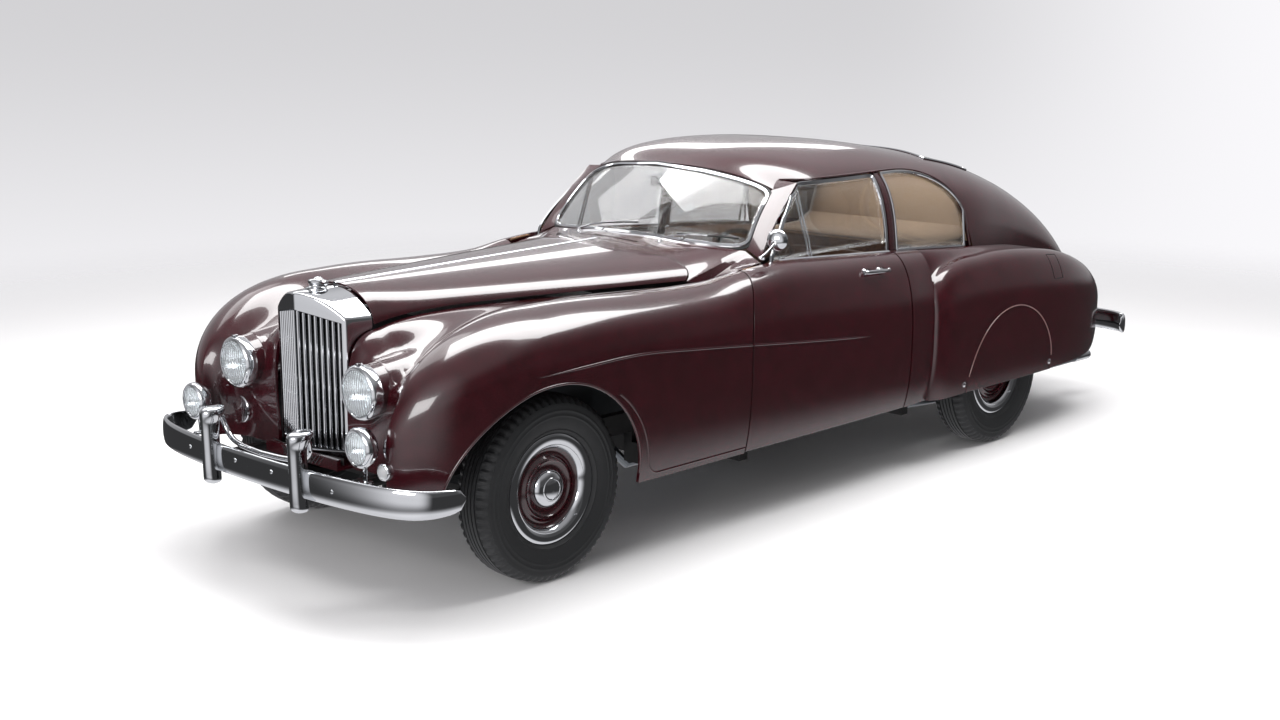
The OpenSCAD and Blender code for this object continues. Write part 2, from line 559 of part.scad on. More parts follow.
// Removable cover over the upper half of each rear wheel
module wheel_spats() color(maroon) car() both() {
    r = spat_r - 6;
    g = [for (a = steps(9, 171, 12)) let (s = axle2 - r * cos(a), sec = wing_section(s))
        [for (z = steps(cover_z, cover_z + r * sin(a), 5)) [side_x_at(sec, z), s, z]]];
    shell(g, 14);
}
// Quarter panel between the door and the rear wing
module quarter_panel() {
    g = [for (s = steps(door_rear_y + door_gap / 2, rear_wing_y, 3)) side_up(s, sill_z + 4, 5, 6)];
    shell(g, skin);
}
module rear_wing_left() color(maroon) car() { quarter_panel(); rear_wing(); }
module rear_wing_right() color(maroon) car() mirror([1, 0, 0]) { quarter_panel(); rear_wing(); }

// Wheels
bead_r = rim_d / 2 - 22;
flange_r = rim_d / 2 - 5;
tyre_r = tyre_d / 2;
// Half outline of a tyre: radius, half width. The bead sits on the rim, the tread is nearly flat.
TYRE = [[bead_r + 0.3, 51.6], [flange_r + 0.6, 58.6], [flange_r + 8, 71], [tyre_r - 100, tyre_w / 2 - 3],
    [tyre_r - 66, tyre_w / 2], [tyre_r - 36, tyre_w / 2 - 2], [tyre_r - 13, tyre_w / 2 - 13],
    [tyre_r - 3, tyre_w / 2 - 34], [tyre_r, tyre_w / 2 - 56]];
module tyre() color(black) rotate([0, 90, 0]) rotate_extrude($fn = 64)
    polygon(concat([for (p = reversed(TYRE)) p], [for (p = TYRE) [p[0], -p[1]]]));
fit_gap = 0.1;
module wheel() color(maroon) rotate([0, 90, 0]) rotate_extrude($fn = 64) polygon([
    [spindle_d / 2 + fit_gap, 4], [spindle_d / 2 + fit_gap, 62], [20, 66], [0, 67], [0, 78], [40, 75],
    [cap_d / 2 - 6, 60], [cap_d / 2, 44], [cap_d / 2 + 5, 36], [102, 38], [112, 47], [120, 47], [130, 36],
    [152, 30], [158, 56], [rim_d / 2 - 26, 66], [flange_r - 4, 68], [flange_r, 64], [flange_r, 59],
    [bead_r, 52], [bead_r, -52], [flange_r, -59], [flange_r, -64], [flange_r - 5, -66],
    [bead_r - 12, -56], [bead_r - 12, 18], [150, 20], [122, 26], [88, 18], [64, 4]]);
module place_wheel(x, y) translate([x, front_axle_y + y, wheel_z]) children();
module tyre_front_left() place_wheel(front_x, 0) tyre();
module tyre_front_right() place_wheel(-front_x, 0) tyre();
module tyre_rear_left() place_wheel(rear_x, axle2) tyre();
module tyre_rear_right() place_wheel(-rear_x, axle2) tyre();
module wheel_front_left() place_wheel(front_x, 0) wheel();
module wheel_front_right() place_wheel(-front_x, 0) mirror([1, 0, 0]) wheel();
module wheel_rear_left() place_wheel(rear_x, axle2) wheel();
module wheel_rear_right() place_wheel(-rear_x, axle2) mirror([1, 0, 0]) wheel();

// Underside. Heights of the main levels
rail_low = wheel_z + 8;
rail_high = wheel_z + 96;
frame_low = 236;
frame_high = 326;
jack_x = 391;
jack_y = [1000, 2700];
floor_low = wheel_z + 52;
floor_high = floor_low + 20;
boot_floor_z = 640;
cabin_front_y = 1110;
cabin_rear_y = 2770;
kingpin_r = 15;
arm_low = wheel_z - 120;
arm_high = rail_high + 0.3;
knuckle_h = 88;

// Knuckle: spindle, upright and steering arm
module knuckle() color(steel) car() difference() {
    union() {
        bar_x([front_x + 8, 0, wheel_z], spindle_d / 2, 104);
        block([kingpin_x - 30, -28, wheel_z - knuckle_h], [front_x - 22, 28, wheel_z + knuckle_h]);
        block([kingpin_x - 22, 0, wheel_z - 62], [kingpin_x + 4, 150, wheel_z - 42]);
    }
    translate([kingpin_x, 0, wheel_z - 100]) cylinder(r = kingpin_r, h = 200, $fn = 48);
}
module knuckle_left() knuckle();
module knuckle_right() mirror([1, 0, 0]) knuckle();

module front_suspension() color(black) car() {
    both() {
        translate([kingpin_x, 0, arm_low + 6]) cylinder(r = kingpin_r - fit_gap, h = arm_high + 12 - arm_low, $fn = 48);
        block([300, -60, arm_low], [kingpin_x + 22, 60, arm_low + 22]);
        block([342, -45, arm_high], [kingpin_x + 22, 45, arm_high + 18]);
        block([342, -70, arm_low], [388, 70, rail_low - 0.3]);
    }
    block([-342, -70, arm_low - 6], [342, 70, arm_low + 60]);
}

spring_low = wheel_z - 66;
spring_high = wheel_z - 44;
module rear_axle() color(black) car() {
    // Axle tube with the final drive in its middle and a spindle at each end
    translate([0, axle2, wheel_z]) rotate([0, 90, 0]) rotate_extrude($fn = 64) polygon([
        [0, -rear_x - 60], [spindle_d / 2, -rear_x - 60], [spindle_d / 2, -rear_x + 85], [40, -rear_x + 90],
        [40, -160], [70, -130], [112, -70], [125, 0], [112, 70], [70, 130], [40, 160],
        [40, rear_x - 90], [spindle_d / 2, rear_x - 85], [spindle_d / 2, rear_x + 60], [0, rear_x + 60]]);
    both() {
        block([515, axle2 - 620, spring_low], [570, axle2 + 620, spring_high]);
        block([520, axle2 - 45, spring_high - 6], [565, axle2 + 45, wheel_z - 12]);
    }
    translate([0, axle2 - 60, wheel_z]) rotate([90, 0, 0]) cylinder(r = 37, h = axle2 - 60 - gearbox_y1 - 0.3, $fn = 48);
}

// Main rails step up over the rear axle; cross members tie them
gearbox_y1 = 1640;
rear_rail_low = 500;
rear_rail_high = 570;
spring_x = 542;
tow_r = 16;
module chassis_frame() color(black) car() both() {
    block([342, -420, rail_low], [388, 900, rail_high]);
    block([342, 840, frame_low], [388, 900, rail_high]);
    block([342, 840, frame_low], [440, 2860, frame_high]);
    block([395, 2800, frame_low], [440, 2860, rear_rail_high]);
    block([395, 2800, rear_rail_low], [440, 4060, rear_rail_high]);
    for (y = [axle2 - 612, axle2 + 560]) block([395, y, y < axle2 ? frame_low : rear_rail_low], [520, y + 40,
        y < axle2 ? spring_low - 0.3 : rear_rail_high]);
    block([515, axle2 + 560, spring_high + 0.3], [569, axle2 + 600, rear_rail_high]);
    for (y = jack_y) block([jack_x - 18, y - 25, frame_low - 6], [jack_x + 18, y + 25, frame_low]);
    difference() {
        block([348, -470, rail_low - 40], [364, -380, rail_low + 20]);
        translate([340, -440, rail_low - 14]) rotate([0, 90, 0]) cylinder(r = tow_r, h = 40, $fn = 48);
    }
}
// Bars between the rails, and the outriggers that carry the sills
module cross_members() color(black) car() {
    for (y = [960, 2400]) block([-342, y, frame_low], [342, y + 60, frame_high - 20]);
    block([-342, -420, rail_low + 10], [342, -370, 445.7]);
    block([-395, 4000, rear_rail_low], [395, 4060, rear_rail_high]);
    both() for (y = [1120, 2300]) block([440, y, frame_low + 20], [sill_x, y + 50, frame_high - 12]);
}

module engine_and_gearbox() color(steel) car() {
    block([-230, -120, 440], [230, 760, 970]);
    block([-150, 740, 345], [150, gearbox_y1, 600]);
    block([-341.7, 300, 440], [341.7, 380, 480]);
}

tunnel_x = 180;
tunnel_z = 640;
wall = 20;
sill_x = 762;
module floor_and_bulkhead() color(black) car() {
    difference() {
        union() {
            block([-sill_x, cabin_front_y, floor_low], [sill_x, 2600, floor_high]);
            block([-600, 2590, floor_low], [600, cabin_rear_y, floor_high]);
            block([-tunnel_x, cabin_front_y, floor_low], [tunnel_x, gearbox_y1 + 40, tunnel_z]);
            block([-690, cabin_front_y, floor_low], [690, cabin_front_y + wall, 1000]);
            block([-600, cabin_rear_y, floor_low], [600, cabin_rear_y + wall, boot_floor_z + wall]);
            block([-590, cabin_rear_y, boot_floor_z], [590, 4040, boot_floor_z + wall]);
        }
        block([-tunnel_x + wall, cabin_front_y - 5, floor_low - 5], [tunnel_x - wall, gearbox_y1 + 20, tunnel_z - wall]);
    }
    // Sills behind the lower edges of the doors
    both() block([sill_x - 22, cabin_front_y, frame_high - 11.7], [sill_x, 2380, floor_high + 60]);
    for (y = [cabin_rear_y + 240, 3900]) for (x = [-440, 395]) block([x, y, rear_rail_high + 0.3], [x + 45, y + 60, boot_floor_z]);
}

module front_apron() color(maroon) car() {
    block([-234, -590, 446], [234, -380, 462]);
    block([-234, -590, 446], [234, -574, rad_low_z - 0.3]);
    both() block([150, -470, 446], [234, -428, rad_low_z - 0.3]);
}

rad_half_top = 985;
function rad_half(z) = z < rad_half_top ? rad_x : 2 + (rad_x - 2) * arc01((z - rad_half_top) / (rad_top_z - rad_half_top), 2.2);
rad_edge_y = -520;
// Width of the shell's back against its front
rad_flare = 1.05;
core_y = rad_edge_y + 30;
module radiator_shell() color(chrome) car() {
    zs = [rad_low_z, rad_half_top, 1020, 1050, 1076, 1095, 1107, rad_top_z];
    difference() {
        closed_loft([for (z = zs) let (x = rad_half(z))
            [[-x * rad_flare, rad_back_y, z], [-x, rad_edge_y, z], [0, rad_edge_y - rad_vee, z], [x, rad_edge_y, z],
                [x * rad_flare, rad_back_y, z]]]);
        block([-rad_x + 24, -900, rad_low_z + 24], [rad_x - 24, -400, rad_half_top + 8]);
    }
    translate([0, rad_edge_y - 20, rad_top_z]) cylinder(r = 26, h = 30, $fn = 48);
}
module radiator_slats() color(chrome) car() {
    core = [rad_x - 24.3, rad_low_z + 24.3, rad_half_top + 7.7];
    block([-core[0], core_y, core[1]], [core[0], core_y + 26, core[2]]);
    for (side = [-1, 1]) for (k = [0.5:slats])
        let (x = side * k * core[0] / slats, y = rad_edge_y - rad_vee * (1 - abs(x) / rad_x) + 12)
        block([x - slat_w / 2, y, core[1]], [x + slat_w / 2, core_y + 1, core[2]]);
}

// Bumpers: a curved bar with rounded ends, bowed in plan and wrapping round at the sides
// Outline of the bar: how far out, and the share of its height
BAR = [[0, 0.5], [9, 0.34], [13, 0], [9, -0.34], [0, -0.5], [-11, -0.3], [-11, 0.3]];
function bar_at(x, y0, bow, wrap, out, t) = [x * sin(90 * t), y0 + out * (bow * t * t + wrap * pow(abs(t), 8)), 0];
module bumper_bar(x, y0, bow, wrap, out) {
    rings = [for (t = steps(-1, 1, 24))
        let (d = unit(bar_at(x, y0, bow, wrap, out, min(t + 0.02, 1)) - bar_at(x, y0, bow, wrap, out, max(t - 0.02, -1))),
            n = [out * d[1], -out * d[0], 0], k = max(0.15, arc01(abs(t), 6)), p = bar_at(x, y0, bow, wrap, out, t))
        [for (c = BAR) p + n * c[0] * k + [0, 0, bumper_z + bumper_h * c[1] * k]]];
    closed_loft(out > 0 ? rings : [for (r = rings) reversed(r)]);
}
// Columns: height, half width, depth and set-back of an overrider
OVERRIDER = [
    [345, 24, 22, 4], [356, 32, 33, 2], [480, 30, 36, 0], [580, 31, 38, 0],
    [612, 36, 46, 8], [634, 36, 50, 16], [646, 26, 38, 24], [650, 12, 18, 28]
];
module overrider(x, y) translate([x, y, 0])
    closed_loft([for (r = OVERRIDER) [for (k = [0:11]) [r[1] * cos(30 * k), r[3] + r[2] * sin(30 * k), r[0]]]]);
bar_y = -front_overhang + 55;
bar_bow = 165;
function bar_mid_y(x) = bar_y + bar_bow * pow(asin(x / bumper_x) / 90, 2);
over_y = -front_overhang + 46;
module front_bumper() color(chrome) car() {
    bumper_bar(bumper_x, bar_y, bar_bow, 125, 1);
    for (side = [-1, 1]) {
        overrider(side * over_x, over_y);
        block([side * 348, bar_y + 22, bumper_z - 48], [side * 388, -420.3, bumper_z - 10]);
    }
}
rear_bar_y = axle2 + rear_overhang - 13;
module rear_bumper() color(chrome) car() {
    bumper_bar(bumper_x - 30, rear_bar_y, 100, 70, -1);
    for (side = [-1, 1]) {
        block([side * 395, 3990, 352], [side * 440, rear_bar_y - 20, 378]);
        block([side * 395, rear_bar_y - 62, 352], [side * 440, rear_bar_y - 12, bumper_z + 20]);
        block([side * 395, 3990, 352], [side * 440, 4050, rear_rail_low - 0.3]);
    }
}

// A lamp facing forward: rim, bowl and domed glass in one round solid
module lamp(d, depth, p) translate(p) rotate([90, 0, 0]) rotate_extrude($fn = 48) polygon([
    [0, -depth], [d * 0.3, -depth], [d * 0.44, -depth * 0.6], [d * 0.47, 0], [d * 0.5, 6], [d * 0.5, 20],
    [d * 0.45, 28], [d * 0.3, 34], [0, 38]]);
head_y = -572;
nacelle_len = 330;
module nacelle(grow) translate([head_x, head_y, head_z]) rotate([-90, 0, 0]) rotate_extrude($fn = 48)
    polygon(concat([[0, 0]], [for (a = steps(0, 90, 6))
        [(head_d * 0.485 + grow) * pow(max(0, cos(a)), 0.8), (nacelle_len + grow) * sin(a)]]));
module headlamps() color(chrome) car() both() lamp(head_d, 0.1, [head_x, head_y - 0.3, head_z]);
module headlamp_nacelles() color(maroon) car() both() nacelle(0);
fog_y = -702;
module fog_lamps() color(chrome) car() both() {
    lamp(fog_d, 44, [fog_x, fog_y, fog_z]);
    translate([fog_x, fog_y + 14, bumper_z + 34]) cylinder(r = 11, h = fog_z - bumper_z - 34, $fn = 32);
    block([fog_x - 16, bar_mid_y(fog_x) + 13.9, bumper_z + 22], [fog_x + 16, fog_y + 30, bumper_z + 36]);
}
module small_lamps() color(chrome) car() both() {
    translate([nose_x, nose_y - 0.3, 530]) rotate([90, 0, 0]) cylinder(r = 30, h = 24, $fn = 48);
    translate([705, 4139.3, 592]) rotate([-90, 0, 0]) cylinder(r = 34, h = 24, $fn = 48);
}

dash_y = 1400;
steer_x = 360;
steer_y = 1660;
steer_z = 985;
steer_tilt = 24;
module on_column() translate([steer_x, steer_y, steer_z]) rotate([90 + steer_tilt, 0, 0]) children();
shaft_r = 15;
module dashboard() color("#3a1f14") car() difference() {
    union() {
        block([-640, 1336, 880], [640, dash_y, 1060]);
        on_column() translate([0, 0, 60]) cylinder(r = shaft_r + 12, h = 300, $fn = 48);
    }
    on_column() translate([0, 0, 50]) cylinder(r = shaft_r + fit_gap, h = 240, $fn = 48);
}
module steering_wheel() color(black) car() on_column() {
    rotate_extrude($fn = 64) translate([205, 0]) circle(r = 11, $fn = 24);
    translate([0, 0, -16]) cylinder(r = 40, h = 40, $fn = 48);
    for (a = [90, 210, 330]) rotate([0, 0, a]) block([30, -9, -4], [200, 9, 4]);
    cylinder(r = shaft_r, h = 280, $fn = 48);
}
seat_z = floor_high + 0.3;
// A seat in side view: cushion, and a back that leans
module seat(w, y, l, back_h) translate([-w / 2, 0, 0]) rotate([90, 0, 90]) linear_extrude(w) polygon([
    [y, seat_z], [y, 610], [y + 30, 640], [y + l - 20, 620], [y + l + back_h * 0.25, 620 + back_h],
    [y + l + back_h * 0.25 + 60, 620 + back_h + 20], [y + l + back_h * 0.25 + 100, 620 + back_h],
    [y + l + 110, seat_z]]);
module front_seats() color(tan) car() both() translate([steer_x, 0, 0]) seat(520, 1690, 400, 400);
module rear_seat() color(tan) car() seat(1120, 2270, 350, 380);

exhaust_x = 560;
module exhaust() color(steel) car() {
    tube([[290, 640, 400], [290, 760, 330], [290, 900, 205], [300, 2300, 200], [470, 2640, 200],
        [exhaust_x, 2900, 210], [exhaust_x, axle2 + 700, 226], [exhaust_x, axle2 + rear_overhang - 5, 226]], 24, 12);
    // Hangers below the cross members
    for (p = [[284, 980], [328, 2404]]) block([p[0], p[1], 208], [p[0] + 24, p[1] + 20, frame_low - 0.3]);
}
module fuel_tank() color(black) car() block([-380, 3420, 420], [380, 3960, boot_floor_z - 0.3]);
mirror_p = [806, 1290, 1197];
// Height of the side's upper surface at y and x
function side_top(y, x) = let (s = y - lean(y, 1045), u = (x - crown_x(s)) / (wide_x(s) - crown_x(s)),
    a = acos(pow(u, 1 / round_k))) wide_z(s) + (crown_z(s) - wide_z(s)) * pow(sin(a), round_k);
module door_mirror() color(chrome) car() {
    translate(mirror_p) rotate([90, 0, 0]) cylinder(r = 48, h = 18, center = true, $fn = 48);
    translate([mirror_p[0], mirror_p[1] + 2, side_top(mirror_p[1], mirror_p[0] - 6) - 3.7]) cylinder(r = 6, h = 100, $fn = 24);
}

chassis_frame();
cross_members();
engine_and_gearbox();
front_suspension();
knuckle_left();
knuckle_right();
rear_axle();
tyre_front_left();
tyre_front_right();
tyre_rear_left();
tyre_rear_right();
wheel_front_left();
wheel_front_right();
wheel_rear_left();
wheel_rear_right();
floor_and_bulkhead();
scuttle();
front_wing_left();
front_wing_right();
radiator_shell();
radiator_slats();
bonnet_hinge();
bonnet_left();
bonnet_right();
roof();
windscreen_pillars();
windscreen();
door_left();
door_right();
door_glass_left();
door_glass_right();
rear_wing_left();
rear_wing_right();
rear_glass();
boot_lid();
wheel_spats();
front_apron();
front_bumper();
rear_bumper();
headlamps();
headlamp_nacelles();
fog_lamps();
small_lamps();
dashboard();
steering_wheel();
front_seats();
rear_seat();
exhaust();
fuel_tank();
door_mirror();
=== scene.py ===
"""Two-door fastback touring car of the early 1950s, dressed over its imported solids."""
import json
import math

import bmesh
import bpy
from mathutils import Matrix, Vector


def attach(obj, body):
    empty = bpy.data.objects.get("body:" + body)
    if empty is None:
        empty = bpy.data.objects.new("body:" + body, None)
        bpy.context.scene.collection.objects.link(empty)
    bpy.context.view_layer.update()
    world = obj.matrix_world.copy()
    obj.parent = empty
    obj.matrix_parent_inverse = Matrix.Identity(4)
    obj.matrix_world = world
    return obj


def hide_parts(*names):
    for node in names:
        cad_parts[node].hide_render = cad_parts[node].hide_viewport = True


bl_info = {
    "name": "Touring Car",
    "version": (1, 0, 0),
    "blender": (4, 5, 0),
    "location": "View3D > Sidebar > Touring Car",
    "description": "Body, bright parts, cabin and studio of an early 1950s fastback car",
    "category": "Object",
}

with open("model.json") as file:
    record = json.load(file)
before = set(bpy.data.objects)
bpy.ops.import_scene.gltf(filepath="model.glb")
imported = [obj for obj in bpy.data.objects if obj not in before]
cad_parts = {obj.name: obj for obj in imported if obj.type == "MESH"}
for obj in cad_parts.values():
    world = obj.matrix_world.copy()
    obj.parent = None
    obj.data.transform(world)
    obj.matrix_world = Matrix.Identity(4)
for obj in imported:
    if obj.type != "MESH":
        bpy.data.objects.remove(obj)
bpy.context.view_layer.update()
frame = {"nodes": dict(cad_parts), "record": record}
MM = 0.001
# The tables are in millimetres from the front axle line, as in the part's source
FRONT_AXLE_Y = -1772.5
WHEELBASE = 3048
WHEEL_Z = 365
FRONT_X = 717.5
REAR_X = 743
SIDE_X = 888
REAR_WING_X = 908
SILL_Z = 320
ROOF_Z = 1555
DOOR_FRONT_Y = 1052
DOOR_REAR_Y = 2200
DOOR_GAP = 8
LID_GAP = 6
ROUND_K = 0.9


def clamp(v, lo=0.0, hi=1.0):
    return max(lo, min(hi, v))


def soft(v):
    u = clamp(v)
    return u * u * (3 - 2 * u)


def mix(a, b, u):
    return a + (b - a) * u


def arc01(v, n=2.0):
    """Quarter of a superellipse: 1 at v = 0, 0 at v = 1."""
    return max(0.0, 1 - clamp(v) ** n) ** (1 / n)


def steps(a, b, n):
    return [mix(a, b, i / n) for i in range(n + 1)]


def power(v, n):
    return max(0.0, v) ** n


def signed(v, n):
    """A power that keeps the sign."""
    return math.copysign(abs(v) ** n, v)


def sind(a):
    return math.sin(math.radians(a))


def cosd(a):
    return math.cos(math.radians(a))


def asind(v):
    return math.degrees(math.asin(clamp(v, -1, 1)))


def at(table, col, s):
    """Smooth value of column col of the table at s."""
    last = len(table) - 1
    i = 0
    while i < last - 1 and s >= table[i + 1][0]:
        i += 1

    def slope(k):
        a, b = max(k - 1, 0), min(k + 1, last)
        return (table[b][col] - table[a][col]) / (table[b][0] - table[a][0])

    h = table[i + 1][0] - table[i][0]
    u = clamp((s - table[i][0]) / h)
    a, b, p, q = table[i][col], table[i + 1][col], slope(i) * h, slope(i + 1) * h
    return a + u * (p + u * (3 * (b - a) - 2 * p - q + u * (2 * (a - b) + p + q)))


def place(p):
    """A point of the tables in metres in the model's frame."""
    return Vector((p[0] * MM, (p[1] + FRONT_AXLE_Y) * MM, p[2] * MM))


# Side of the body: y, crown x, crown height, widest x, height of the widest line
SIDE = [
    (-200, 664, 1044, SIDE_X - 6, 836), (0, 668, 1060, SIDE_X - 2, 838), (250, 690, 1062, SIDE_X, 842),
    (600, 712, 1050, SIDE_X, 828), (880, 726, 1050, SIDE_X, 805), (DOOR_FRONT_Y, 740, 1076, SIDE_X, 790),
    (1300, 742, 1094, SIDE_X + 2, 768), (1871, 738, 1070, SIDE_X, 715),
    (DOOR_REAR_Y, 735, 1052, SIDE_X - 6, 690),
    (2398, 733, 1042, SIDE_X - 20, 684), (2900, 725, 1010, SIDE_X - 30, 680),
]
NOSE_Y, NOSE_X, NOSE_Z, NOSE_CORNER_Y = -640, 600, 600, -200
WING_LOW_Z = 450
RAD_BACK_Y, BONNET_Y0, BONNET_Y1 = -405, -400, 1000
TUCK = 40
DOOR_LEAN = 95


def nose(s):
    return arc01((NOSE_CORNER_Y - s) / (NOSE_CORNER_Y - NOSE_Y))


def crown_x(s):
    return mix(NOSE_X, SIDE[0][1], nose(s)) if s < NOSE_CORNER_Y else at(SIDE, 1, s)


def crown_z(s):
    return mix(NOSE_Z, SIDE[1][2], arc01(-s / -NOSE_Y, 2.15)) if s < 0 else at(SIDE, 2, s)


def wide_x(s):
    return mix(NOSE_X, SIDE[0][3], nose(s)) if s < NOSE_CORNER_Y else at(SIDE, 3, s)


def wide_z(s):
    return mix(NOSE_Z, SIDE[0][4], nose(s)) if s < NOSE_CORNER_Y else at(SIDE, 4, s)


def lean(s, z):
    return (DOOR_LEAN * soft((s - 560) / (DOOR_FRONT_Y - 560)) * (1 - soft((s - 1250) / 400))
            * power((z - 800) / 300, 2))


def leaned(s, x, z):
    return (x, s + lean(s, z), z)


def low_x(s, z):
    return wide_x(s) - TUCK * ((wide_z(s) - z) / (wide_z(s) - SILL_Z)) ** 3


def side_up(s, z0, n1, n2):
    """The side at s from height z0 up to the crown."""
    low = [leaned(s, low_x(s, z), z) for z in steps(z0, wide_z(s), n1)]
    return low + [leaned(s, crown_x(s) + (wide_x(s) - crown_x(s)) * power(cosd(a), ROUND_K),
                         wide_z(s) + (crown_z(s) - wide_z(s)) * power(sind(a), ROUND_K))
                  for a in steps(0, 90, n2)[1:]]


# Lower edge of the bonnet: y, x, height
BONNET_EDGE = [(-405, 237, 966), (-330, 262, 990), (-225, 290, 1008), (0, 338, 1020), (500, 446, 1018),
               (1060, 564, 1008)]
# Inner edge of the wing ahead of the bonnet: y of the row's crown, then x, y and height of the row's end
FRONT_EDGE = [
    (NOSE_Y, NOSE_X, NOSE_Y, WING_LOW_Z), (-626, 545, -560, WING_LOW_Z), (-606, 450, -520, WING_LOW_Z),
    (-586, 340, -518, WING_LOW_Z), (-568, 236, -530, 462), (-552, 236, -536, 640), (-536, 236, -532, 780),
    (-514, 236, -514, 866), (-490, 236, -490, 918), (-456, 238, -456, 948), (-420, 241, -420, 964),
    (-403, 243, -403, 968),
]
EDGE_START = -410
# Depth of the valley between the crown and the bonnet
VALLEY = [(-640, 0), (-600, 30), (-540, 90), (-450, 120), (-300, 78), (-150, 40), (0, 20), (300, 8), (700, 0),
          (1060, 0)]


def bonnet_x(s):
    return at(BONNET_EDGE, 1, s)


def bonnet_low(s):
    return at(BONNET_EDGE, 2, s)


def inner_at(s):
    if s < EDGE_START:
        return [at(FRONT_EDGE, c, s) for c in (1, 2, 3)]
    return [bonnet_x(s) + LID_GAP, s, bonnet_low(s)]


def side_in(s, n):
    """From the crown in to the inner edge."""
    e, cx, cz, front = inner_at(s), crown_x(s), crown_z(s), soft((-480 - s) / 90)
    row = []
    for t in steps(0, 1, n)[1:]:
        q = mix(soft(t), 1 - (1 - t) ** 2.2, front)
        z = mix(cz, e[2], mix(soft(t), t ** 1.5, front)) - at(VALLEY, 1, s) * sind(180 * t) ** 2
        row.append(leaned(mix(s, e[1], q), mix(cx, e[0], mix(t, q, 0.4 * front)), z))
    return row


# Upper body: place, y and height of the middle, x and height of the lower edge, how far y moves at x = 600
UPPER = [
    (0, 1418, ROOF_Z - 84, 742, 1095, 150), (1, 1600, ROOF_Z - 28, 742, 1088, 90),
    (2, 1880, ROOF_Z, 739, 1072, 30),
    (3, 2250, ROOF_Z - 9, 735, 1050, 0), (4, 2620, ROOF_Z - 54, 732, 1030, 0),
    (5, 3000, ROOF_Z - 116, 722, 1004, -10),
    (6, 3300, ROOF_Z - 188, 690, 975, -20), (7, 3600, ROOF_Z - 285, 655, 925, -35),
    (8, 3850, ROOF_Z - 405, 632, 868, -50), (9, 4030, ROOF_Z - 535, 618, 805, -70),
    (10, 4155, 865, 608, 735, -90),
    (11, 4232, 690, 600, 640, -110), (12, 4250, 530, 596, 520, -120), (13, 4225, 390, 592, 390, -125),
]
GUTTER_Z = ROOF_Z - 142
PILLAR_S = 0.45
GLASS_HALF, BOOT_HALF = 470, 520
REAR_GLASS_S, BOOT_S = (4.55, 5.75), (7.0, 12.2)


def upper_n(s):
    return mix(2.7, 3.4, soft(s / 1.5)) if s < 5 else mix(3.4, 2.4, soft((s - 5) / 5))


def upper_at(s, w):
    """Point of the upper body at place s, w from 0 in the middle to 1 at the lower edge."""
    zc, zb, n = at(UPPER, 2, s), at(UPPER, 4, s), upper_n(s)
    c, u = power(cosd(90 * w), 2 / n), power(sind(90 * w), 2 / n)
    x = (at(UPPER, 3, s) - 0.10 * (zc - zb) * c * (1 - soft((s - 5) / 4))) * u
    return (x, at(UPPER, 1, s) + at(UPPER, 5, s) * (x / 600) ** 2.2, zb + (zc - zb) * c)


def upper_w(s, z):
    zc, zb = at(UPPER, 2, s), at(UPPER, 4, s)
    return math.degrees(math.acos(clamp((z - zb) / (zc - zb)) ** (upper_n(s) / 2))) / 90


def gutter(s):
    if s < PILLAR_S:
        return mix(ROOF_Z - 178, GUTTER_Z, s / PILLAR_S)
    return mix(GUTTER_Z, at(UPPER, 4, s), 1 - arc01((at(UPPER, 1, s) - 2300) / 590, 2.6))


def halve(lo, hi, below):
    """The place between lo and hi where below turns false."""
    for _ in range(24):
        mid = (lo + hi) / 2
        lo, hi = (mid, hi) if below(mid) else (lo, mid)
    return (lo + hi) / 2


def w_of_x(s, x):
    return halve(0, 1, lambda w: upper_at(s, w)[0] < x)


def place_of(y):
    return halve(0, 13, lambda s: at(UPPER, 1, s) < y)


def upper_side(y, z, d=0.0):
    s = place_of(y)
    return (upper_at(s, upper_w(s, max(z, at(UPPER, 4, s))))[0] - d, y, z)


def belt_z(y):
    return at(SIDE, 2, y)


def flip(p):
    return (-p[0], p[1], p[2])


def mirrored_row(half):
    """A full row from its left half, which starts in the middle."""
    return half[::-1] + [flip(p) for p in half[1:]]


# Meshes

def to_object(name, bm, body, material, thick=0.0, bevel=0.0, soft_angle=35.0):
    """A finished object from a bmesh, riding on a body."""
    mesh = bpy.data.meshes.new(name)
    bm.to_mesh(mesh)
    bm.free()
    obj = bpy.data.objects.new(name, mesh)
    bpy.context.scene.collection.objects.link(obj)
    mesh.materials.append(material)
    for poly in mesh.polygons:
        poly.use_smooth = True
    mesh.set_sharp_from_angle(angle=math.radians(soft_angle))
    if thick:
        wall = obj.modifiers.new("Wall", "SOLIDIFY")
        wall.thickness, wall.offset = thick * MM, -1.0
        wall.use_even_offset = False
    if bevel:
        edge = obj.modifiers.new("Edge", "BEVEL")
        edge.width, edge.segments, edge.limit_method = bevel * MM, 2, "ANGLE"
        edge.angle_limit = math.radians(50)
        edge.harden_normals = True
    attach(obj, body)
    return obj


def face_out(bm, centre):
    """Turn an open sheet so that it faces away from a point."""
    score = sum((f.calc_center_median() - centre).dot(f.normal) * f.calc_area() for f in bm.faces)
    if score < 0:
        bmesh.ops.reverse_faces(bm, faces=bm.faces[:])


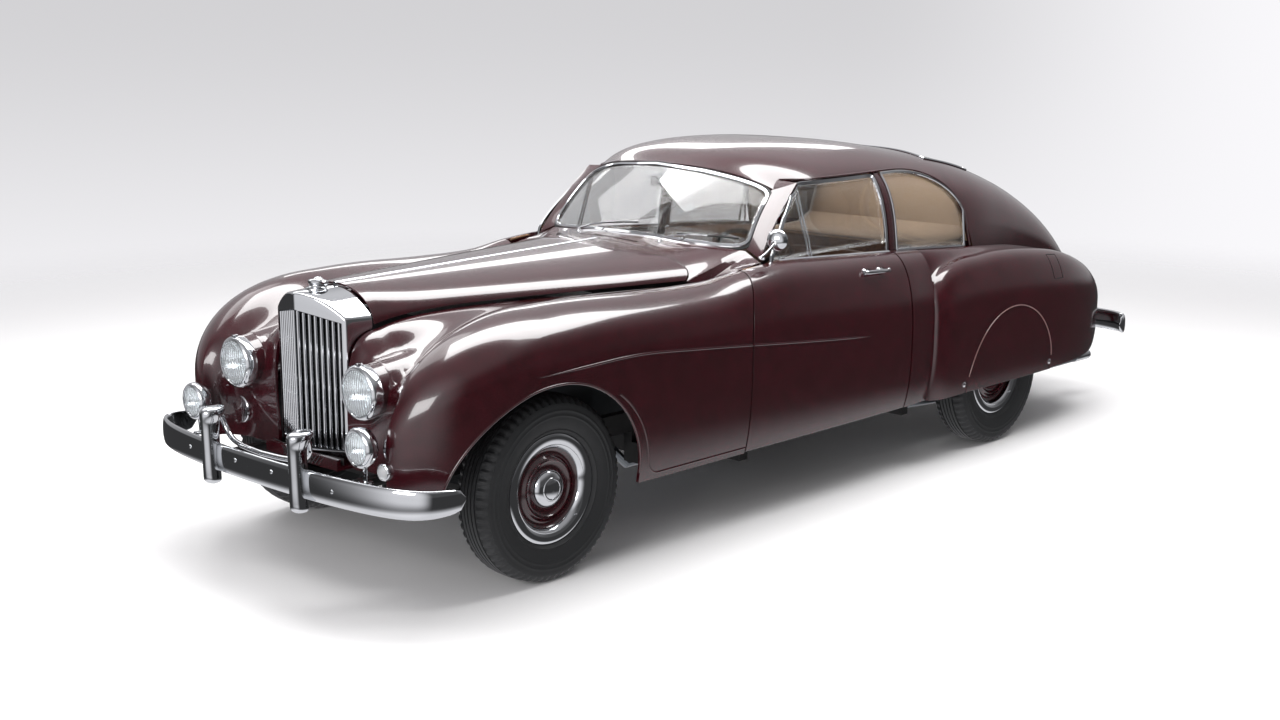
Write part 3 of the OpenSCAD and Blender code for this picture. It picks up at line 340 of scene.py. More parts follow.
def sheet_mesh(points, keep=None, centre=None, wrap=False, caps=False):
    """A grid whose corners are moved onto the rows of points, given in the tables' millimetres."""
    rows, cols = len(points), len(points[0])
    bm = bmesh.new()
    bmesh.ops.create_grid(bm, x_segments=rows - 1, y_segments=cols - 1, size=1.0)
    spot = {v: (round((v.co.x + 1) / 2 * (rows - 1)), round((v.co.y + 1) / 2 * (cols - 1))) for v in bm.verts}
    if keep:
        gone = []
        for f in bm.faces:
            i, j = min(spot[v][0] for v in f.verts), min(spot[v][1] for v in f.verts)
            if not keep(i, j):
                gone.append(f)
        bmesh.ops.delete(bm, geom=gone, context="FACES")
    for v in bm.verts:
        i, j = spot[v]
        v.co = place(points[i][j])
    if wrap:
        bmesh.ops.remove_doubles(bm, verts=bm.verts[:], dist=2e-6)
    if caps:
        bmesh.ops.holes_fill(bm, edges=[e for e in bm.edges if e.is_boundary], sides=0)
    if wrap or caps:
        bmesh.ops.recalc_face_normals(bm, faces=bm.faces[:])
    else:
        bm.normal_update()
        face_out(bm, place(centre or (0, (points[0][0][1] + points[-1][0][1]) / 2, 600)))
    return bm


def mirror_mesh(bm):
    bmesh.ops.scale(bm, vec=(-1, 1, 1), verts=bm.verts[:])
    bmesh.ops.reverse_faces(bm, faces=bm.faces[:])
    return bm


def on_side(side, *meshes):
    """Meshes made for the left side, mirrored where they are for the right one."""
    if side == "right":
        for bm in meshes:
            mirror_mesh(bm)
    return meshes[0]


def turned_mesh(profile, spot, axis=(0, 1, 0), count=64, start=None):
    """A profile of (radius, along) pairs in millimetres spun round an axis through spot."""
    bm = bmesh.new()
    axis = Vector(axis).normalized()
    side = Vector(start) if start else axis.orthogonal().normalized()
    centre = place(spot)
    verts = [bm.verts.new(centre + side * r * MM + axis * a * MM) for r, a in profile]
    edges = [bm.edges.new(pair) for pair in zip(verts, verts[1:])]
    bmesh.ops.spin(bm, geom=verts + edges, cent=centre, axis=axis, angle=math.tau, steps=count,
                   use_merge=True)
    bmesh.ops.remove_doubles(bm, verts=bm.verts[:], dist=2e-6)
    bmesh.ops.recalc_face_normals(bm, faces=bm.faces[:])
    return bm


def sweep_mesh(path, section, up=None, closed=False, flat=None):
    """A closed section of (across, out) pairs swept along a path; up gives the outward way."""
    n = len(path)
    pts = [Vector(p) for p in path]
    rows, out = [], None
    for i in range(n):
        a = pts[(i - 1) % n] if closed else pts[max(i - 1, 0)]
        b = pts[(i + 1) % n] if closed else pts[min(i + 1, n - 1)]
        along = (b - a).normalized()
        if up:
            out = Vector(up[i] if isinstance(up, list) else up)
        elif out is None:
            out = along.orthogonal()
        out = (out - along * out.dot(along)).normalized()
        across = along.cross(out)
        k = flat(i / (n - 1)) if flat else 1.0
        rows.append([tuple(pts[i] + across * u * k + out * v * k) for u, v in section + section[:1]])
    if closed:
        rows.append(rows[0])
    return sheet_mesh(rows, wrap=True, caps=not closed)


def ring_section(r, count=12):
    return [(r * cosd(360 * k / count), r * sind(360 * k / count)) for k in range(count)]


def oblong(w, h, r=1.5, du=0, dv=0):
    """A rectangle w across and h out, with cut corners, moved by du across and dv out."""
    a, b = w / 2, h
    corners = [(-a, r), (-a + r, 0), (a - r, 0), (a, r), (a, b - r), (a - r, b), (-a + r, b), (-a, b - r)]
    return [(u + du, v + dv) for u, v in corners]


def oval(a, b, step=36):
    return [(a * cosd(t), b * sind(t)) for t in range(0, 360, step)]


def box_mesh(lo, hi, bevel=0.0, segments=2):
    bm = bmesh.new()
    bmesh.ops.create_cube(bm, size=1.0)
    a, b = place(lo), place(hi)
    for v in bm.verts:
        v.co = Vector((mix(a[k], b[k], v.co[k] + 0.5) for k in range(3)))
    if bevel:
        bmesh.ops.bevel(bm, geom=bm.edges[:], offset=bevel * MM, offset_type="OFFSET", segments=segments,
                        affect="EDGES", profile=0.5, material=-1, clamp_overlap=True)
    return bm


def join_meshes(parts):
    """Several bmeshes as one."""
    base = parts[0]
    for part in parts[1:]:
        mesh = bpy.data.meshes.new("part")
        part.to_mesh(mesh)
        part.free()
        base.from_mesh(mesh)
        bpy.data.meshes.remove(mesh)
    return base


# Materials

def linear(code, alpha=1.0):
    """An sRGB hex colour as linear values."""
    parts = [int(code[k:k + 2], 16) / 255 for k in (1, 3, 5)]
    return tuple(c / 12.92 if c <= 0.04045 else ((c + 0.055) / 1.055) ** 2.4 for c in parts) + (alpha,)


def node(tree, kind, links=None, **settings):
    """Add a node with its settings; links maps an input to a value or to another node's output."""
    made = tree.nodes.new(kind)
    for key, value in settings.items():
        setattr(made, key, value)
    for key, value in (links or {}).items():
        if isinstance(value, bpy.types.NodeSocket):
            tree.links.new(value, made.inputs[key])
        else:
            made.inputs[key].default_value = value
    return made


def new_material(name, colour, **values):
    mat = bpy.data.materials.new(name)
    mat.use_nodes = True
    tree = mat.node_tree
    shader = tree.nodes["Principled BSDF"]
    shader.inputs["Base Color"].default_value = linear(colour)
    for key, value in values.items():
        shader.inputs[key.replace("_", " ").title().replace("Ior", "IOR")].default_value = value
    return mat, tree, shader


def object_coords(tree, scale=1.0, turn=(0, 0, 0)):
    coords = node(tree, "ShaderNodeTexCoord")
    size = scale if isinstance(scale, tuple) else (scale,) * 3
    return node(tree, "ShaderNodeMapping",
                {"Vector": coords.outputs["Object"], "Scale": size, "Rotation": turn})


def add_bump(tree, shader, height, strength, distance_mm):
    bump = node(tree, "ShaderNodeBump",
                {"Height": height, "Strength": strength, "Distance": distance_mm * MM})
    tree.links.new(bump.outputs["Normal"], shader.inputs["Normal"])
    return bump


def vary(tree, shader, source, low, high, a, b, key="Base Color"):
    """Drive a shader input from a texture between two values."""
    colour = isinstance(a, str)
    ramp = node(tree, "ShaderNodeMapRange", {"Value": source, "From Min": low, "From Max": high})
    if colour:
        blend = node(tree, "ShaderNodeMix", data_type="RGBA")
        tree.links.new(ramp.outputs["Result"], blend.inputs[0])
        blend.inputs[6].default_value = linear(a)
        blend.inputs[7].default_value = linear(b)
        tree.links.new(blend.outputs[2], shader.inputs[key])
    else:
        ramp.inputs["To Min"].default_value = a
        ramp.inputs["To Max"].default_value = b
        tree.links.new(ramp.outputs["Result"], shader.inputs[key])


MATERIALS = {}


def make_materials(props):
    """Every finish of the car, by its key."""
    m = MATERIALS
    # Cellulose lacquer, flatted and polished: deep colour under a clear, even gloss with a faint ripple
    m["paint"], tree, sh = new_material("maroon_cellulose_lacquer", props.paint, roughness=0.22,
                                        coat_weight=1.0, coat_roughness=0.03, specular_ior_level=0.5)
    wide = node(tree, "ShaderNodeTexNoise", {"Vector": object_coords(tree, 3.0).outputs[0], "Detail": 2.0})
    vary(tree, sh, wide.outputs["Fac"], 0.3, 0.7, props.paint, props.paint_light)
    # Chromium plate on brass: near mirror, with fine polishing haze
    m["chrome"], tree, sh = new_material("chromium_plate", "#d4d6d9", metallic=1.0, roughness=0.06)
    haze = node(tree, "ShaderNodeTexNoise", {"Vector": object_coords(tree, 60.0).outputs[0], "Detail": 4.0})
    vary(tree, sh, haze.outputs["Fac"], 0.35, 0.7, 0.035, 0.09, "Roughness")
    # Natural rubber tyre, moulded: black with a dry bloom
    m["tyre"], tree, sh = new_material("moulded_tyre_rubber", "#141516", roughness=0.62)
    grain = node(tree, "ShaderNodeTexNoise", {"Vector": object_coords(tree, 220.0).outputs[0], "Detail": 3.0})
    vary(tree, sh, grain.outputs["Fac"], 0.3, 0.7, "#18191a", "#28292b")
    add_bump(tree, sh, grain.outputs["Fac"], 0.35, 0.5)
    # Extruded rubber seal: dull black
    m["rubber"], tree, sh = new_material("extruded_seal_rubber", "#0d0e0f", roughness=0.55)
    grain = node(tree, "ShaderNodeTexNoise", {"Vector": object_coords(tree, 400.0).outputs[0]})
    add_bump(tree, sh, grain.outputs["Fac"], 0.2, 0.3)
    # Toughened plate glass, very slightly green
    m["glass"], tree, sh = new_material("plate_glass", "#f2f7f6", roughness=0.0, transmission_weight=1.0,
                                        ior=1.48, alpha=0.35)
    # Chassis enamel, brushed on: satin black with dust
    m["enamel"], tree, sh = new_material("black_chassis_enamel", "#0b0b0c", roughness=0.45)
    dust = node(tree, "ShaderNodeTexNoise", {"Vector": object_coords(tree, 14.0).outputs[0], "Detail": 6.0})
    vary(tree, sh, dust.outputs["Fac"], 0.4, 0.75, "#0a0a0b", "#1b1a19")
    vary(tree, sh, dust.outputs["Fac"], 0.3, 0.7, 0.35, 0.6, "Roughness")
    # Cast and machined steel
    m["steel"], tree, sh = new_material("machined_steel", "#6c7074", metallic=1.0, roughness=0.38)
    cast = node(tree, "ShaderNodeTexNoise", {"Vector": object_coords(tree, 90.0).outputs[0], "Detail": 5.0})
    vary(tree, sh, cast.outputs["Fac"], 0.3, 0.7, 0.3, 0.5, "Roughness")
    add_bump(tree, sh, cast.outputs["Fac"], 0.15, 0.4)
    # Pressed lamp glass with vertical flutes
    m["lens"], tree, sh = new_material("fluted_lamp_glass", "#f4f8fa", roughness=0.02,
                                       transmission_weight=0.85, ior=1.5)
    flutes = node(tree, "ShaderNodeTexWave", {"Vector": object_coords(tree, 1.0).outputs[0], "Scale": 24.0,
                                              "Distortion": 0.0}, wave_type="BANDS", bands_direction="X")
    add_bump(tree, sh, flutes.outputs["Fac"], 0.5, 2.5)
    # Silvered reflector
    m["reflector"], tree, sh = new_material("silvered_reflector", "#f2f4f5", metallic=1.0, roughness=0.12)
    # Opal glass of the side lamps
    m["frosted"], tree, sh = new_material("opal_lamp_glass", "#e9ecee", roughness=0.25,
                                          transmission_weight=0.4, ior=1.5)
    # Woven mesh, painted dull grey
    m["gunmetal"], tree, sh = new_material("painted_wire_mesh", "#3a3b3d", metallic=0.6, roughness=0.4)
    # Vat-dyed cow hide, worn soft: brown with darker seams and a fine grain
    m["hide"], tree, sh = new_material("brown_cow_hide", "#5a3d2c", roughness=0.5, sheen_weight=0.1)
    worn = node(tree, "ShaderNodeTexNoise", {"Vector": object_coords(tree, 9.0).outputs[0], "Detail": 5.0})
    vary(tree, sh, worn.outputs["Fac"], 0.3, 0.72, "#3d281d", "#60432f")
    creases = node(tree, "ShaderNodeTexVoronoi", {"Vector": object_coords(tree, 260.0).outputs[0]})
    add_bump(tree, sh, creases.outputs["Distance"], 0.3, 0.6)
    # Lighter hide of the door panels
    m["tan_hide"], tree, sh = new_material("tan_cow_hide", "#7a5b42", roughness=0.5)
    worn = node(tree, "ShaderNodeTexNoise", {"Vector": object_coords(tree, 7.0).outputs[0], "Detail": 4.0})
    vary(tree, sh, worn.outputs["Fac"], 0.3, 0.7, "#6c503a", "#87674c")
    creases = node(tree, "ShaderNodeTexVoronoi", {"Vector": object_coords(tree, 260.0).outputs[0]})
    add_bump(tree, sh, creases.outputs["Distance"], 0.25, 0.5)
    # Wool headcloth: tan, felted, with a soft sheen
    m["cloth"], tree, sh = new_material("wool_headcloth", "#8d7459", roughness=0.95, sheen_weight=0.4)
    felt = node(tree, "ShaderNodeTexNoise", {"Vector": object_coords(tree, 420.0).outputs[0], "Detail": 6.0})
    vary(tree, sh, felt.outputs["Fac"], 0.3, 0.7, "#82694f", "#977d61")
    add_bump(tree, sh, felt.outputs["Fac"], 0.4, 0.6)
    # Cut-pile wool carpet: dark brown tufts about 4 mm apart
    m["carpet"], tree, sh = new_material("wool_pile_carpet", "#3a2419", roughness=1.0, sheen_weight=0.3)
    tufts = node(tree, "ShaderNodeTexVoronoi", {"Vector": object_coords(tree, 250.0).outputs[0]})
    vary(tree, sh, tufts.outputs["Distance"], 0.1, 0.7, "#4a3022", "#22140e")
    add_bump(tree, sh, tufts.outputs["Distance"], 0.8, 3.0)
    # Burr walnut veneer under varnish: swirled grain about 6 mm apart
    m["veneer"], tree, sh = new_material("burr_walnut_veneer", "#4a2615", roughness=0.3, coat_weight=0.8,
                                         coat_roughness=0.05)
    burr = node(tree, "ShaderNodeTexNoise", {"Vector": object_coords(tree, 12.0).outputs[0], "Detail": 3.0,
                                             "Distortion": 2.5})
    grain = node(tree, "ShaderNodeTexWave", {"Vector": object_coords(tree, (6.0, 20.0, 26.0)).outputs[0],
                                             "Scale": 1.2, "Distortion": 9.0, "Detail": 4.0})
    mixed = node(tree, "ShaderNodeMath", {0: burr.outputs["Fac"], 1: grain.outputs["Fac"]},
                 operation="MULTIPLY")
    vary(tree, sh, mixed.outputs[0], 0.1, 0.5, "#2c1409", "#6e3c1f")
    # Raised edge of a painted panel: a pale colour painted on as the highlight where the lacquer catches the
    # light
    m["painted_highlight_edge"], tree, sh = new_material("lacquer_edge_painted_highlight", "#8a6a68", roughness=0.25, coat_weight=0.6)
    # Red lens of the tail lamps
    m["red"], tree, sh = new_material("ruby_lamp_glass", "#7a0a0c", roughness=0.08, transmission_weight=0.3,
                                      ior=1.5)


SLOTS = {
    "paint": "body_paint", "chrome": "bright_metal", "enamel": "chassis_black", "steel": "bare_steel",
    "tyre": "tyre_rubber", "glass": "glass", "hide": "leather", "veneer": "wood_trim",
}


def piece(name, bm, body, key, *nodes, **extra):
    """A finished piece in one of the materials, standing for the named solids."""
    obj = to_object(name, bm, body, MATERIALS[key], **extra)
    if nodes:
        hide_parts(*nodes)
    return obj


def skin(name, bm, body, thick, edge, *nodes):
    """A painted panel with its fold, standing for the named solids."""
    return piece(name, bm, body, "paint", *nodes, thick=thick, bevel=edge)


# The camera fits the photograph: the eye and its angles were solved from points of the body
EYE = (5369.6, -4263.3, 2145.2)
EYE_YAW, EYE_PITCH = 44.018, 11.557
LENS_MM = 47.945


def make_camera():
    cam = bpy.data.cameras.new("camera")
    cam.lens, cam.sensor_width, cam.clip_end = LENS_MM, 36.0, 200.0
    obj = bpy.data.objects.new("camera", cam)
    obj.location = place(EYE)
    obj.rotation_euler = (math.radians(90 - EYE_PITCH), 0, math.radians(EYE_YAW))
    bpy.context.scene.collection.objects.link(obj)
    bpy.context.scene.camera = obj
    return obj


# Lights in metres and watts: name, place, what it looks at, size, power; the last is inside the cabin
LIGHTS = [
    ("overhead", (0.3, 0.2, 5.4), (0.2, 0.1, 0), (2.6, 7.5), 560),
    ("behind", (-6.2, 5.2, 4.2), (0, 0, 0.9), (7.0, 1.1), 70),
    ("screen_side", (-4.3, -1.9, 5.2), (0.0, -0.5, 1.2), (3.6, 3.4), 60),
    ("front", (1.6, -8.5, 3.0), (0, -1, 0.6), (4.6, 2.4), 240),
    ("cabin_fill", (0.0, 0.35, 1.36), (0.0, 0.35, 0.5), (0.9, 1.1), 0.9),
]
FLOOR_R, FLOOR_FADE = 10.0, (4.4, 9.5)


def area_light(name, spot, target, size, power_w):
    light = bpy.data.lights.new(name, "AREA")
    light.shape, light.size, light.size_y, light.energy = "RECTANGLE", size[0], size[1], power_w
    obj = bpy.data.objects.new(name, light)
    obj.location = spot
    obj.rotation_euler = (Vector(target) - Vector(spot)).to_track_quat("-Z", "Y").to_euler()
    bpy.context.scene.collection.objects.link(obj)
    return obj


def make_floor(props):
    """A pale floor that fades into the air of the studio, and isn't mirrored in the paint."""
    mat, tree, sh = new_material("studio_floor", props.floor, roughness=0.6)
    coords = node(tree, "ShaderNodeTexCoord")
    away = node(tree, "ShaderNodeVectorMath", {0: coords.outputs["Object"]}, operation="LENGTH")
    fade = node(tree, "ShaderNodeMapRange",
                {"Value": away.outputs["Value"], "From Min": FLOOR_FADE[0], "From Max": FLOOR_FADE[1]},
                interpolation_type="SMOOTHSTEP")
    clear = node(tree, "ShaderNodeBsdfTransparent")
    both = node(tree, "ShaderNodeMixShader",
                {0: fade.outputs["Result"], 1: sh.outputs[0], 2: clear.outputs[0]})
    tree.links.new(both.outputs[0], tree.nodes["Material Output"].inputs["Surface"])
    bm = bmesh.new()
    bmesh.ops.create_circle(bm, cap_ends=True, radius=FLOOR_R, segments=64)
    mesh = bpy.data.meshes.new("studio_floor")
    bm.to_mesh(mesh)
    bm.free()
    mesh.materials.append(mat)
    floor = bpy.data.objects.new("studio_floor", mesh)
    floor.visible_glossy = False
    return floor


def make_world():
    """Pale air for the camera; for the car bright walls behind and ahead and a dark near side."""
    world = bpy.data.worlds.new("studio_air")
    world.use_nodes = True
    tree = world.node_tree
    way = node(tree, "ShaderNodeTexCoord").outputs["Generated"]
    height = node(tree, "ShaderNodeSeparateXYZ", {0: way}).outputs["Z"]

    def between(value, low, high, a, b):
        inputs = {"Value": value, "From Min": low, "From Max": high, "To Min": a, "To Max": b}
        return node(tree, "ShaderNodeMapRange", inputs, interpolation_type="SMOOTHSTEP").outputs[0]

    def along(x, y, low, high, a, b):
        dot = node(tree, "ShaderNodeVectorMath", {0: way, 1: (x, y, 0)}, operation="DOT_PRODUCT")
        return between(dot.outputs["Value"], low, high, a, b)

    def ramp(low, high, a, b):
        return between(height, low, high, a, b)

    def maths(op, a, b):
        return node(tree, "ShaderNodeMath", {0: a, 1: b}, operation=op).outputs[0]

    right = along(cosd(EYE_YAW), sind(EYE_YAW), 0.11, 0.37, 0.0, 1.0)
    pale = node(tree, "ShaderNodeMix", {0: right, 2: ramp(-0.2, 0.02, 0.93, 0.66), 3: 0.97})
    above = ramp(-0.06, 0.03, 0.0, 1.0)
    behind = maths("MULTIPLY", along(-sind(EYE_YAW), cosd(EYE_YAW), -0.05, 0.8, 0.04, 0.42), above)
    ahead = maths("MULTIPLY", along(0.25, -0.97, 0.45, 0.95, 0.0, 0.85), ramp(-0.4, -0.2, 0.2, 1.0))
    ground = maths("ADD", ramp(-0.55, -0.34, 0.85, 0.0), 0.05)
    light = maths("ADD", maths("ADD", behind, ahead), maths("ADD", ground, ramp(0.3, 0.75, 0.0, 0.32)))
    path = node(tree, "ShaderNodeLightPath")
    seen = maths("MAXIMUM", path.outputs["Is Camera Ray"], path.outputs["Is Transmission Ray"])
    level = node(tree, "ShaderNodeMix", {0: seen, 2: light, 3: pale.outputs[0]})
    air = tree.nodes["Background"]
    air.inputs["Color"].default_value = linear("#fdfcff")
    tree.links.new(level.outputs[0], air.inputs["Strength"])
    return world


class CarSizes(bpy.types.PropertyGroup):
    """Sizes and colours of the dressed car"""
    paint: bpy.props.StringProperty(name="Paint", description="Colour of the body in sRGB hex",
                                    default="#2c050b")
    paint_light: bpy.props.StringProperty(name="Paint, light", description="Second tone of the body",
                                          default="#360811")
    floor: bpy.props.StringProperty(name="Floor", description="Colour of the studio floor", default="#f1f0f0")
    panel: bpy.props.FloatProperty(name="Panel", description="Thickness of a body panel in millimetres",
                                   default=14.0)
    edge: bpy.props.FloatProperty(name="Edge", description="Radius of a panel's folded edge in millimetres",
                                  default=1.6)


class CAR_OT_stage(bpy.types.Operator):
    """Studio floor, air, lights and camera"""
    bl_idname = "car.stage"
    bl_label = "Studio"

    def execute(self, context):
        props = context.scene.car_sizes
        make_camera()
        floor = make_floor(props)
        context.scene.collection.objects.link(floor)
        context.scene.world = make_world()
        for row in LIGHTS:
            cabin = area_light(*row)
        cabin.visible_camera = cabin.visible_glossy = cabin.visible_transmission = False
        context.scene.view_settings.view_transform = "Standard"
        return {"FINISHED"}


WING_ARCH_Y, ARCH_FRONT, ARCH_REAR, ARCH_H = -50, 485, 455, 429


def wing_rows():
    low = asind((WING_LOW_Z - WHEEL_Z) / ARCH_H)
    rows = [(NOSE_Y + 200 * (1 - cosd(a)), WING_LOW_Z) for a in (0.5, 4, 8) + tuple(range(12, 61, 2))]
    rows += [(WING_ARCH_Y - ARCH_FRONT * cosd(a), WHEEL_Z + ARCH_H * sind(a)) for a in steps(low, 90, 26)]
    rows += [(WING_ARCH_Y + ARCH_REAR * cosd(a), WHEEL_Z + ARCH_H * sind(a)) for a in steps(90, 0, 22)[1:]]
    rear = WING_ARCH_Y + ARCH_REAR + 2
    rows += [(rear, SILL_Z)] + [(y, SILL_Z) for y in steps(rear, DOOR_FRONT_Y - DOOR_GAP / 2, 14)[1:]]
    return rows


class CAR_OT_front_wings(bpy.types.Operator):
    """Front wings, from the nose back to the doors"""
    bl_idname = "car.front_wings"
    bl_label = "Front wings"

    def execute(self, context):
        props = context.scene.car_sizes
        points = [side_up(s, z0, 12, 16) + [with_housing(p) for p in side_in(s, 24)] for s, z0 in wing_rows()]
        for side in ("left", "right"):
            bm = sheet_mesh(points, centre=(520, 200, 500))
            on_side(side, bm)
            skin("front_wing_skin_" + side, bm, "car", props.panel, props.edge, "front_wing_" + side)
        return {"FINISHED"}


BONNET_RISE = 0.0283
RAD_TOP_Z = 1113
HINGE_R, HINGE_GAP = 8, 6


def bonnet_mid_z(y):
    return RAD_TOP_Z + 8 + (y - BONNET_Y0) * BONNET_RISE


def swept(x, y):
    return x, y + 60 * soft((y - 400) / 600) * (x / 562) ** 2


BONNET_CORNER = 60


def bonnet_row(y, n=8, cut=0.0):
    zc, x0, x1 = bonnet_mid_z(y), HINGE_R + HINGE_GAP, bonnet_x(y)
    row = []
    outer = min(84, asind(((x1 - cut - x0) / (x1 - x0)) ** (1 / 0.92)))
    for a in steps(outer, 0, n):
        x, yy = swept(x0 + (x1 - x0) * power(sind(a), 0.92), y)
        row.append((x, yy, zc - (zc - bonnet_low(y)) * (1 - power(cosd(a), 0.96))))
    return row


class CAR_OT_bonnet(bpy.types.Operator):
    """The two halves of the engine lid"""
    bl_idname = "car.bonnet"
    bl_label = "Bonnet"

    def execute(self, context):
        props = context.scene.car_sizes
        points = [bonnet_row(y, 22) for y in steps(BONNET_Y0, BONNET_Y1 - BONNET_CORNER, 40)]
        points += [bonnet_row(BONNET_Y1 - BONNET_CORNER * (1 - sind(b)), 22, BONNET_CORNER * (1 - cosd(b)))
                   for b in range(10, 91, 8)]
        for side in ("left", "right"):
            bm = sheet_mesh(points)
            on_side(side, bm)
            skin("bonnet_skin_" + side, bm, "bonnet_%s_body" % side, 8, props.edge, "bonnet_" + side)
        return {"FINISHED"}


def roof_row(s, n_in, n_out):
    half_x = GLASS_HALF if s < 6.4 else BOOT_HALF
    mid = w_of_x(s, half_x)
    edge = upper_w(s, gutter(s)) if s < 5 else 1.0
    return mirrored_row([upper_at(s, w) for w in steps(0, mid, n_in) + steps(mid, edge, n_out)[1:]])


def roof_places():
    return ([0, 0.08, 0.16, 0.26, 0.36] + steps(PILLAR_S, 1, 5) + steps(1, 4, 21)[1:] + steps(4, 4.55, 4)[1:]
            + steps(4.55, 5.75, 10)[1:] + steps(5.75, 7, 9)[1:] + steps(7, 12.2, 40)[1:]
            + steps(12.2, 13, 6)[1:])


class CAR_OT_roof(bpy.types.Operator):
    """Roof and tail in one panel, with the boot lid let in"""
    bl_idname = "car.roof"
    bl_label = "Roof and tail"

    def execute(self, context):
        props = context.scene.car_sizes
        places, n_in, n_out = roof_places(), 12, 12
        points = [roof_row(s, n_in, n_out) for s in places]

        def keep(i, j):
            s = (places[i] + places[i + 1]) / 2
            inside = n_out <= j < n_out + 2 * n_in
            return not (inside and (REAR_GLASS_S[0] < s < REAR_GLASS_S[1] or BOOT_S[0] < s < BOOT_S[1]))

        bm = sheet_mesh(points, keep=keep, centre=(0, 2700, 800))
        skin("roof_skin", bm, "car", 22, props.edge, "roof")
        rows = []
        for s in steps(BOOT_S[0] + 0.035, BOOT_S[1] - 0.06, 40):
            rows.append(mirrored_row([upper_at(s, w) for w in steps(0, w_of_x(s, BOOT_HALF - LID_GAP), 14)]))
        bm = sheet_mesh(rows, centre=(0, 3600, 500))
        skin("boot_lid_skin", bm, "boot_lid_body", 12, props.edge, "boot_lid")
        return {"FINISHED"}


# Half the width of the screen's foot, and how square its corners are
SCREEN_X, SCREEN_CORNER = 609, 9
# Rear face of the screen pillar: y at its foot, how far it rakes back, height of its foot
PILLAR_Y, PILLAR_RAKE, PILLAR_FOOT_Z = 1318, 300, 1092


def screen_low(u):
    return Vector((SCREEN_X * u, 1190 + 137 * abs(u) ** 2.2, 1172 - 40 * u * u))


def screen_top(u):
    return Vector((565 * u, 1405 + 142 * abs(u) ** 2.2, ROOF_Z - 93 - 85 * u * u))


def screen_at(u, v):
    """Point of the curved screen, u from -1 to 1 across and v from 0 to 1 up."""
    belly = sind(180 * clamp(v))
    return screen_low(u).lerp(screen_top(u), v) + Vector((0, -14 * belly, 8 * belly))


def pillar_back(v):
    return Vector((mix(698, 652, v), PILLAR_Y + PILLAR_RAKE * v ** 1.25, mix(PILLAR_FOOT_Z, GUTTER_Z, v)))


class CAR_OT_pillars(bpy.types.Operator):
    """Screen pillars, rear door posts and the scuttle"""
    bl_idname = "car.pillars"
    bl_label = "Pillars and scuttle"

    def execute(self, context):
        props = context.scene.car_sizes
        parts = []
        for side in (1, -1):
            rows = []
            for v in steps(0.01, 0.985, 20):
                a, b = screen_at(1, v), pillar_back(v)
                rows.append([tuple(a.lerp(b, t) + Vector((6 * sind(180 * t), 0, 0))) for t in steps(0, 1, 6)])
            parts.append(sheet_mesh(rows, centre=(300, 1600, 1200)))
            top = []
            for t in steps(0, 1, 8):
                edge_s = PILLAR_S * t
                a, b = screen_at(1, 0.98), pillar_back(0.98)
                foot = a.lerp(b, t) + Vector((6 * sind(180 * t), 0, 0))
                head = Vector(upper_at(edge_s, upper_w(edge_s, gutter(edge_s))))
                top.append([tuple(foot.lerp(head, u)) for u in steps(0, 1.04, 5)])
            parts.append(sheet_mesh(top, centre=(300, 1700, 1200)))
            y0, y1 = DOOR_REAR_Y + 12, DOOR_REAR_Y + 58
            rows = [[upper_side(y, mix(belt_z(y) + 1, GUTTER_Z - 1, u), 3) for u in steps(0, 1, 10)]
                    for y in (y0, (y0 + y1) / 2, y1)]
            parts.append(sheet_mesh(rows))
            if side == -1:
                for bm in parts[-3:]:
                    mirror_mesh(bm)
        skin("screen_pillar_skins", join_meshes(parts), "car", 16, 1.0, "windscreen_pillars")
        half = []
        edge = bonnet_row(BONNET_Y1, 16)
        for k, u in enumerate(steps(0, 1, 16)):
            p, q = screen_low(u), edge[16 - k]
            x = q[0] + LID_GAP if k == 16 else q[0]
            past = clamp((q[0] - edge[0][0] + BONNET_CORNER) / BONNET_CORNER)
            start = Vector((x, q[1] + LID_GAP - BONNET_CORNER * (1 - math.sqrt(1 - past * past)), q[2]))
            half.append([tuple(start.lerp(p - Vector((0, 6, 3)), t)) for t in steps(0, 1, 12)])
        end = side_in(DOOR_FRONT_Y - DOOR_GAP / 2, 7)
        for u in steps(1 / 6, 1, 5):
            p = screen_low(1).lerp(pillar_back(0), u) - Vector((0, 6, 4))
            w = 6 * (1 - u * 0.8)
            i = min(int(w), 5)
            q = Vector(end[i]).lerp(Vector(end[i + 1]), w - i) + Vector((0, 1, 0))
            half.append([tuple(q.lerp(p, t)) for t in steps(0, 1, 12)])
        rows = half[::-1] + [[flip(p) for p in r] for r in half[1:]]
        skin("scuttle_skin", sheet_mesh(rows, centre=(0, 1250, 600)), "car", 14, props.edge, "scuttle")
        return {"FINISHED"}


FRAME_TOP_Z = GUTTER_Z - DOOR_GAP
FRAME_Y1 = DOOR_REAR_Y + 2


def pillar_y(z):
    return PILLAR_Y + PILLAR_RAKE * clamp((z - PILLAR_FOOT_Z) / (GUTTER_Z - PILLAR_FOOT_Z)) ** 1.25


def frame_outline(n=8):
    """Outline of the door above the belt: up the pillar, along the gutter, down the post."""
    r, back = 30, DOOR_GAP + 6
    y0 = pillar_y(FRAME_TOP_Z - r) + back
    y1, y2 = y0 + 1.2 * r, y0 + 1.2 * r + 50
    pts = [(pillar_y(z) + back, z) for z in steps(belt_z(1330) - 18, FRAME_TOP_Z - r, n)]
    pts += [(mix(mix(y0, y1, t), mix(y1, y2, t), t), FRAME_TOP_Z - r * (1 - t) ** 2)
            for t in steps(0, 1, 6)[1:-1]]
    pts += [(y, FRAME_TOP_Z) for y in steps(y2, FRAME_Y1 - 24, 10)]
    pts += [(FRAME_Y1 - 24 + 24 * sind(a), FRAME_TOP_Z - 24 * (1 - cosd(a))) for a in (30, 60, 90)]
    return pts + [(FRAME_Y1, z) for z in steps(FRAME_TOP_Z - 60, belt_z(FRAME_Y1) - 18, 5)]


